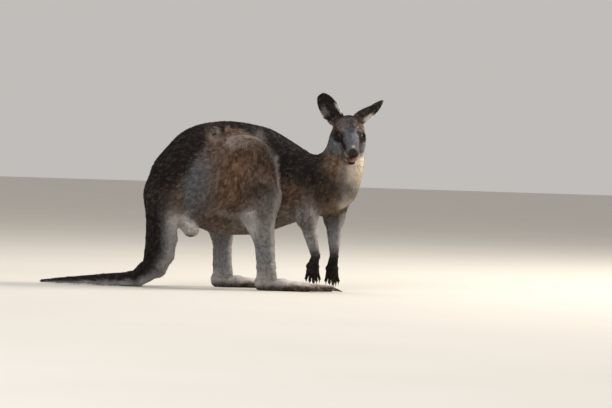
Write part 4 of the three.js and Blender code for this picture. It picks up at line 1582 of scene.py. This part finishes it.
def combing_nodes():
    n = Nodes("combed coat")
    n.size("Skin", "Geometry")
    n.size("Lock", "Object")
    n.size("Thickness of growth", "Float", 1.0)
    n.size("Length", "Float", 1.0)
    n.size("Ruffle", "Float", 0.24)
    n.size("Seed", "Int", 1)
    n.size("Finish", "Material")
    given = n.tree.nodes.new("NodeGroupInput").outputs
    scatter = n.tree.nodes.new("GeometryNodeDistributePointsOnFaces")
    scatter.distribute_method = "RANDOM"
    n.tree.links.new(given["Skin"], scatter.inputs["Mesh"])
    n.tree.links.new(n.times(n.kept("tufts"), given["Thickness of growth"]), scatter.inputs["Density"])
    n.tree.links.new(given["Seed"], scatter.inputs["Seed"])
    seed = given["Seed"]
    locks = n.add("ShaderNodeTexNoise", None, {"Scale": 95.0, "Detail": 1.0})
    locks = n.add("ShaderNodeMapRange", None, {0: locks, 1: 0.34, 2: 0.66, 3: -0.1, 4: 0.8})
    tint = n.add("ShaderNodeMath", dict(operation="ADD", use_clamp=True),
                 {0: locks, 1: n.chance(0.0, 0.3, seed, 11)})
    tinted = n.keep(scatter.outputs["Points"], "tint", tint)
    drift = n.add("ShaderNodeTexNoise", None, {"Scale": 22.0, "Detail": 2.0})
    drift = n.add("ShaderNodeMapRange", None, {0: drift, 1: 0.3, 2: 0.7, 3: -2.2, 4: 2.2})
    swing = n.add("ShaderNodeMath", dict(operation="ADD"), {0: drift, 1: n.chance(-1.0, 1.0, seed, 23)})
    swing = n.times(swing, given["Ruffle"])
    up = scatter.outputs["Normal"]
    lie = n.add("ShaderNodeVectorRotate", dict(rotation_type="AXIS_ANGLE"),
                {"Vector": n.kept("lie", "FLOAT_VECTOR"), "Axis": up, "Angle": swing})
    turn = n.add("FunctionNodeAxesToRotation", dict(primary_axis="Z", secondary_axis="X"),
                 {"Primary Axis": up, "Secondary Axis": lie})
    long = n.times(n.times(n.kept("tuft_length"), given["Length"]), n.chance(0.7, 1.2, seed, 37))
    wide = n.times(n.kept("tuft_width"), n.chance(0.7, 1.25, seed, 41))
    tall = n.times(n.kept("tuft_height"), n.chance(0.55, 1.25, seed, 53))
    size = n.add("ShaderNodeCombineXYZ", None, {"X": long, "Y": wide, "Z": tall})
    shape = n.add("GeometryNodeObjectInfo", None, {"Object": given["Lock"]}, 4)
    planted = n.add("GeometryNodeInstanceOnPoints", None,
                    {"Points": tinted, "Instance": shape, "Rotation": turn, "Scale": size})
    real = n.add("GeometryNodeRealizeInstances", None, {"Geometry": planted})
    at = n.tree.nodes.new("ShaderNodeSeparateXYZ")
    n.tree.links.new(n.add("GeometryNodeInputPosition"), at.inputs[0])
    above = n.add("ShaderNodeMath", dict(operation="MAXIMUM"), {0: at.outputs[2], 1: 0.0004})
    kept_up = n.add("ShaderNodeCombineXYZ", None, {"X": at.outputs[0], "Y": at.outputs[1], "Z": above})
    real = n.add("GeometryNodeSetPosition", None, {"Geometry": real, "Position": kept_up})
    centred = n.add("ShaderNodeVectorMath", dict(operation="SUBTRACT"),
                    {0: n.kept("patch", "FLOAT_VECTOR"), 1: (0.5, 0.5, 0.0)})
    small = n.add("ShaderNodeVectorMath", dict(operation="SCALE"), {0: centred, "Scale": 0.003})
    where = n.add("ShaderNodeVectorMath", dict(operation="ADD"),
                  {0: n.kept("unwrap", "FLOAT_VECTOR"), 1: small})
    mapped = n.keep(real, "OFBake", where, "FLOAT2", "CORNER")
    done = n.add("GeometryNodeSetMaterial", None, {"Geometry": mapped, "Material": given["Finish"]})
    out = n.tree.nodes.new("NodeGroupOutput")
    n.tree.links.new(done, out.inputs[0])
    return n


COMBING = combing_nodes()
print("combing takes:", ", ".join(COMBING.ids))

# %% [markdown]
# ## The coat in pieces
# The coat is made in pieces, as a furrier cuts a pelt: each follows one line of bones, and has its own flat
# map, rolled round that line. A map in which u runs round the line and v along it needs no hand-placed seam.

# %% Cutting the pelt and mapping it
def rolled_map(p, normals, line):
    """u round a line, v along it; at the ends v goes on over the rounding."""
    along, foot, way = nearest_on(line, p)
    out = p - foot
    span = np.array(line, float)[-1, :3] - np.array(line, float)[0, :3]
    steep = abs(unit(span)[2]) > 0.7
    up = np.array((1.0, 0, 0)) if steep else np.array((0, 0, 1.0))
    side = np.cross(way, up)
    side /= np.linalg.norm(side, axis=1)[:, None]
    top = np.cross(side, way)
    u = np.arctan2((out * side).sum(1), (out * top).sum(1)) / (2 * math.pi) + 0.5
    v = along - 0.5 * np.linalg.norm(out, axis=1) * (normals * way).sum(1)
    return u, v


names = list(d)
values = np.stack([d[name] for name in names])
owner = values.argmin(0)
mesh = body.data
mesh.calc_loop_triangles()
triangles = np.empty(len(mesh.loop_triangles) * 3, np.int32)
mesh.loop_triangles.foreach_get("vertices", triangles)
triangles = triangles.reshape(-1, 3)
face_at = p[triangles].mean(1)
face_owner = owner[triangles[:, 0]]
face_ear = {side: ears[side][triangles].mean(1) > 0.5 for side in EARS}
right_half = face_at[:, 1] < spine_at(face_at[:, 0], 1)


def owned(*wanted):
    wanted = [names.index(name) for name in wanted]
    hit = np.isin(face_owner, wanted)
    return hit & ~face_ear["right"] & ~face_ear["left"]


pelts = {}
trunk_faces = owned("trunk")
for part, first, last in (("rump", -999, 20), ("belly", 20, 270), ("chest", 270, 999)):
    here = trunk_faces & (face_at[:, 0] >= first) & (face_at[:, 0] < last)
    pelts[f"{part}_right"] = (here & right_half, TRUNK)
    pelts[f"{part}_left"] = (here & ~right_half, TRUNK)
on_tail = owned("tail")
pelts["tail_root"] = (on_tail & (face_at[:, 2] > 150), TAIL)
pelts["tail_end"] = (on_tail & (face_at[:, 2] <= 150), TAIL)
pelts["vent"] = (owned("vent"), BONES["vent"])
pelts["neck"] = (owned("neck"), NECK)
pelts["head"] = (owned("head"), BONES["head"])
for side in SIDES:
    pelts[f"thigh_{side}"] = (owned(f"thigh_{side}"), BONES[f"thigh_{side}"])
    pelts[f"shank_{side}"] = (owned(f"shank_{side}"), BONES[f"shank_{side}"])
    pelts[f"foot_{side}"] = (owned(f"foot_{side}"), BONES[f"foot_{side}"])
    line = [*BONES[f"upper_arm_{side}"], *BONES[f"forearm_{side}"][1:], BONES[f"hand_{side}"][-1]]
    pelts[f"arm_{side}"] = (owned(f"upper_arm_{side}", f"forearm_{side}", f"hand_{side}"), line)
    ear = EARS[side].world([(0, 0, -10), (-6, 0, EAR_LENGTH)])
    pelts[f"ear_{side}"] = (face_ear[side], ear)
print("pelts:", {name: int(hit.sum()) for name, (hit, _) in pelts.items()})

# %% Planting each pelt
KEPT = {name: np.empty(len(mesh.vertices), np.float32) for name in (*MARKS, *SIZES)}
for name, kept_values in KEPT.items():
    mesh.attributes[name].data.foreach_get("value", kept_values)


def pelt(name, hit, line):
    faces = triangles[hit]
    used, renumbered = np.unique(faces, return_inverse=True)
    faces = renumbered.reshape(-1, 3)
    ground = new_object(f"pelt_{name}", to_frame(p[used]), faces)
    for kept_name, kept_values in KEPT.items():
        store(ground, kept_name, kept_values[used])
    store(ground, "lie", lie[used], "FLOAT_VECTOR")
    u, v = rolled_map(p[used], normals[used], line)
    u, v = u[faces], v[faces]
    u = np.where((u.max(1) - u.min(1) > 0.5)[:, None] & (u < 0.5), u + 1, u)
    low_u, high_u = u.min(), u.max()
    low_v, high_v = v.min(), v.max()
    flat = np.stack([(u - low_u) / (high_u - low_u), (v - low_v) / (high_v - low_v)], -1) * 0.96 + 0.02
    layer = ground.data.attributes.new("unwrap", "FLOAT2", "CORNER")
    layer.data.foreach_set("vector", flat.astype(np.float32).ravel())
    return ground


def plant(name, ground, growth, seed):
    tool = ground.modifiers.new("combing", "NODES")
    tool.node_group = COMBING.tree
    settings = {"Lock": lock_of_hairs, "Thickness of growth": growth, "Length": 1.0,
                "Ruffle": 0.12 if name in ("head", "ear_right", "ear_left") else 0.24,
                "Seed": seed, "Finish": COAT}
    for setting, value in settings.items():
        tool[COMBING.ids[setting]] = value
    made = evaluated(ground)
    bpy.data.objects.remove(ground)
    made.name = f"coat_{name}"
    for extra in ("unwrap", "patch", "lie", *SIZES):
        if extra in made.attributes:
            made.attributes.remove(made.attributes[extra])
    return linked(f"coat_{name}", made)


GROWTH = 1.0
coats = {}
for number, (name, (hit, line)) in enumerate(pelts.items()):
    coats[name] = plant(name, pelt(name, hit, line), GROWTH, 101 + 7 * number)
bpy.data.objects.remove(lock_of_hairs)
counts = {name: len(coat.data.polygons) for name, coat in coats.items()}
print("triangles:", counts, "in all", sum(counts.values()))

# %% [markdown]
# ## Whiskers and lashes
# Stiff hairs stand clear of the coat on the muzzle and over the eye. Each is a fine tapered tube: whiskers
# droop a little, and lashes curl up. The whiskers' roots are first guessed, and then slid on to the skin with
# the same formula. The lashes stand on the rim of the upper lid.

# %% Stiff hairs
def bristle(root, way, length, radius, droop):
    way = unit(way)
    side = unit(np.cross(way, (0.0, 0.1, 1.0)))
    other = np.cross(side, way)
    turn = once_round(5)
    rows = []
    for t in np.linspace(-0.05, 0.95, 7):
        middle = root + way * length * t - np.array((0, 0, droop)) * t * t
        r = radius * (1 - 0.85 * max(t, 0))
        rows.append(middle + r * (np.outer(np.cos(turn), side) + np.outer(np.sin(turn), other)))
    return ringed(np.array(rows), rows[0].mean(0), root + way * length - np.array((0, 0, droop)))


chance = np.random.default_rng(7)


def whiskers():
    roots, ways = [], []
    for s in (-1, 1):
        for i in range(5):
            for j in range(3):
                roots.append((62 + 9 * i, s * (27 - 2.2 * i), -38 - 6 * j))
                ways.append((0.1 + 0.08 * i - 0.25 * chance.random(), s * 0.9, -0.15 - 0.2 * j))
    roots = settle(skin, HEAD.world(roots), 4)
    return [bristle(r, HEAD.direction(way), chance.uniform(24, 44), 0.28, chance.uniform(3, 9))
            for r, way in zip(roots, ways)]


def lashes(s):
    up = eye_up(s)
    fore = np.cross(up, GAZE[s]) * -s
    made = []
    for angle in np.linspace(degrees(20), degrees(160), 20):
        along, height = 13.0 * math.cos(angle), 9.4 * math.sin(angle) + 1.0
        out = math.sqrt(max((EYE_RADIUS + 1.4) ** 2 - along**2 - height**2, 1))
        root = EYE_AT[s] + fore * along + up * height + GAZE[s] * out
        way = GAZE[s] + 0.55 * up + 0.35 * fore * math.cos(angle)
        made.append(bristle(HEAD.world([root])[0], HEAD.direction(way), chance.uniform(7, 10), 0.3, -1.0))
    return made


def bristle_finish():
    paint = Finish("stiff hair")
    base = paint.mix(colour("#15110f"), colour("#3a3029"), paint.noise(0.01))
    return paint.surface(base, 0.45, **{"Specular IOR Level": 0.4})


bristles = {"whiskers": closed_object("whiskers", whiskers())}
for side, s in SIDES.items():
    bristles[f"lashes_{side}"] = closed_object(f"lashes_{side}", lashes(s))
BRISTLE = bristle_finish()
for thing in bristles.values():
    thing.data.materials.append(BRISTLE)
print("stiff hairs:", {name: len(thing.data.polygons) for name, thing in bristles.items()})

# %% [markdown]
# ## What stands for which solid
# One skin stands for every solid of flesh, so no seam shows. Eyes, nose, tongue and claws stand for their
# own.

# %% Pieces and the solids they stand for
flesh = ["head", "jaw", "neck", "chest", "belly", "rump", "vent"]
flesh += [f"tail_{i}" for i in range(1, 6)]
for side in SIDES:
    flesh += [f"{part}_{side}" for part in ("ear", "upper_arm", "forearm", "hand", "thigh", "shank", "foot")]


def place_piece(piece, slot, *nodes):
    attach(piece, "root")
    if nodes:
        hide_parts(*nodes)


place_piece(body, "back_coat", *flesh)
place_piece(nose, "nose_skin", "nose")
place_piece(tongue, "tongue", "tongue")
for side in SIDES:
    place_piece(eyes[side], "eye", f"eye_{side}")
    place_piece(claws[f"hand_{side}"], "claw", *[f"claw_hand_{side}_{n}" for n in range(1, 6)])
    toes = ("long", "outer", "inner_a", "inner_b")
    place_piece(claws[f"foot_{side}"], "claw", *[f"claw_foot_{side}_{toe}" for toe in toes])
for thing in bristles.values():
    place_piece(thing, "face_coat")
for name, coat in coats.items():
    slot = "ear_coat" if "ear" in name else "face_coat" if name == "head" else "back_coat"
    place_piece(coat, slot)
print("one skin for", len(flesh), "solids, and", len(coats), "coat pieces")

# %% [markdown]
# ## Floor, light and camera
# A plain pale floor and soft boxes of light, as in a studio. A long lens from far off keeps the animal's
# proportions true. The camera leans by under two degrees.

# %% Floor
floor_mesh = bpy.data.meshes.new("floor")
floor_mesh.from_pydata([(-40, -40, 0), (40, -40, 0), (40, 40, 0), (-40, 40, 0)], [], [(0, 1, 2, 3)])
floor = linked("floor", floor_mesh)
floor_paint = Finish("pale floor")
floor_paint.surface(base=floor_paint.mix(colour("#cfcac2"), colour("#d8d3cb"), floor_paint.noise(0.8)),
                    roughness=0.85)
floor_mesh.materials.append(floor_paint.material)

# %% Light
world = bpy.data.worlds.new("pale studio")
world.use_nodes = True
world.node_tree.nodes["Background"].inputs["Color"].default_value = (*colour("#cfccc8"), 1)
world.node_tree.nodes["Background"].inputs["Strength"].default_value = 0.85
bpy.context.scene.world = world


def softbox(name, place, aim, size, power, tint):
    light = bpy.data.lights.new(name, "AREA")
    light.shape, light.size, light.energy, light.color = "DISK", size, power, tint
    box = linked(name, light)
    box.location = place
    box.rotation_euler = (Vector(aim) - Vector(place)).to_track_quat("-Z", "Y").to_euler()


softbox("low warm key", (6.5, 1.8, 3.6), (0.1, 0, 0.35), 2.4, 620, (1.0, 0.93, 0.82))
softbox("broad front", (-3.4, -8.5, 5.0), (0, 0, 0.3), 6.0, 480, (0.93, 0.96, 1.0))
softbox("overhead", (0.4, 1.5, 6.0), (0, 0, 0.3), 4.0, 110, (1.0, 0.98, 0.95))

# %% Camera
LEAN = degrees(1.8)
LOOK_DOWN = degrees(0.9)
DISTANCE = 14.0
FRAME_WIDTH = 2.448
lens = bpy.data.cameras.new("camera")
lens.lens = 36 * DISTANCE / FRAME_WIDTH
lens.clip_end = 200
camera = linked("camera", lens)
forward = np.array((0, math.cos(LOOK_DOWN), -math.sin(LOOK_DOWN)))
level_up = np.array((0, math.sin(LOOK_DOWN), math.cos(LOOK_DOWN)))
right = math.cos(LEAN) * np.array((1, 0, 0)) + math.sin(LEAN) * level_up
up = -math.sin(LEAN) * np.array((1, 0, 0)) + math.cos(LEAN) * level_up
aim = to_frame((369.2, -20, 348.6))
stand = aim - DISTANCE * forward
matrix = np.eye(4)
matrix[:3] = np.column_stack([right, up, -forward, stand])
camera.matrix_world = Matrix(matrix.tolist())
bpy.context.scene.camera = camera
bpy.context.scene.view_settings.view_transform = "Standard"

# %% The last update of the scene
bpy.context.view_layer.update()
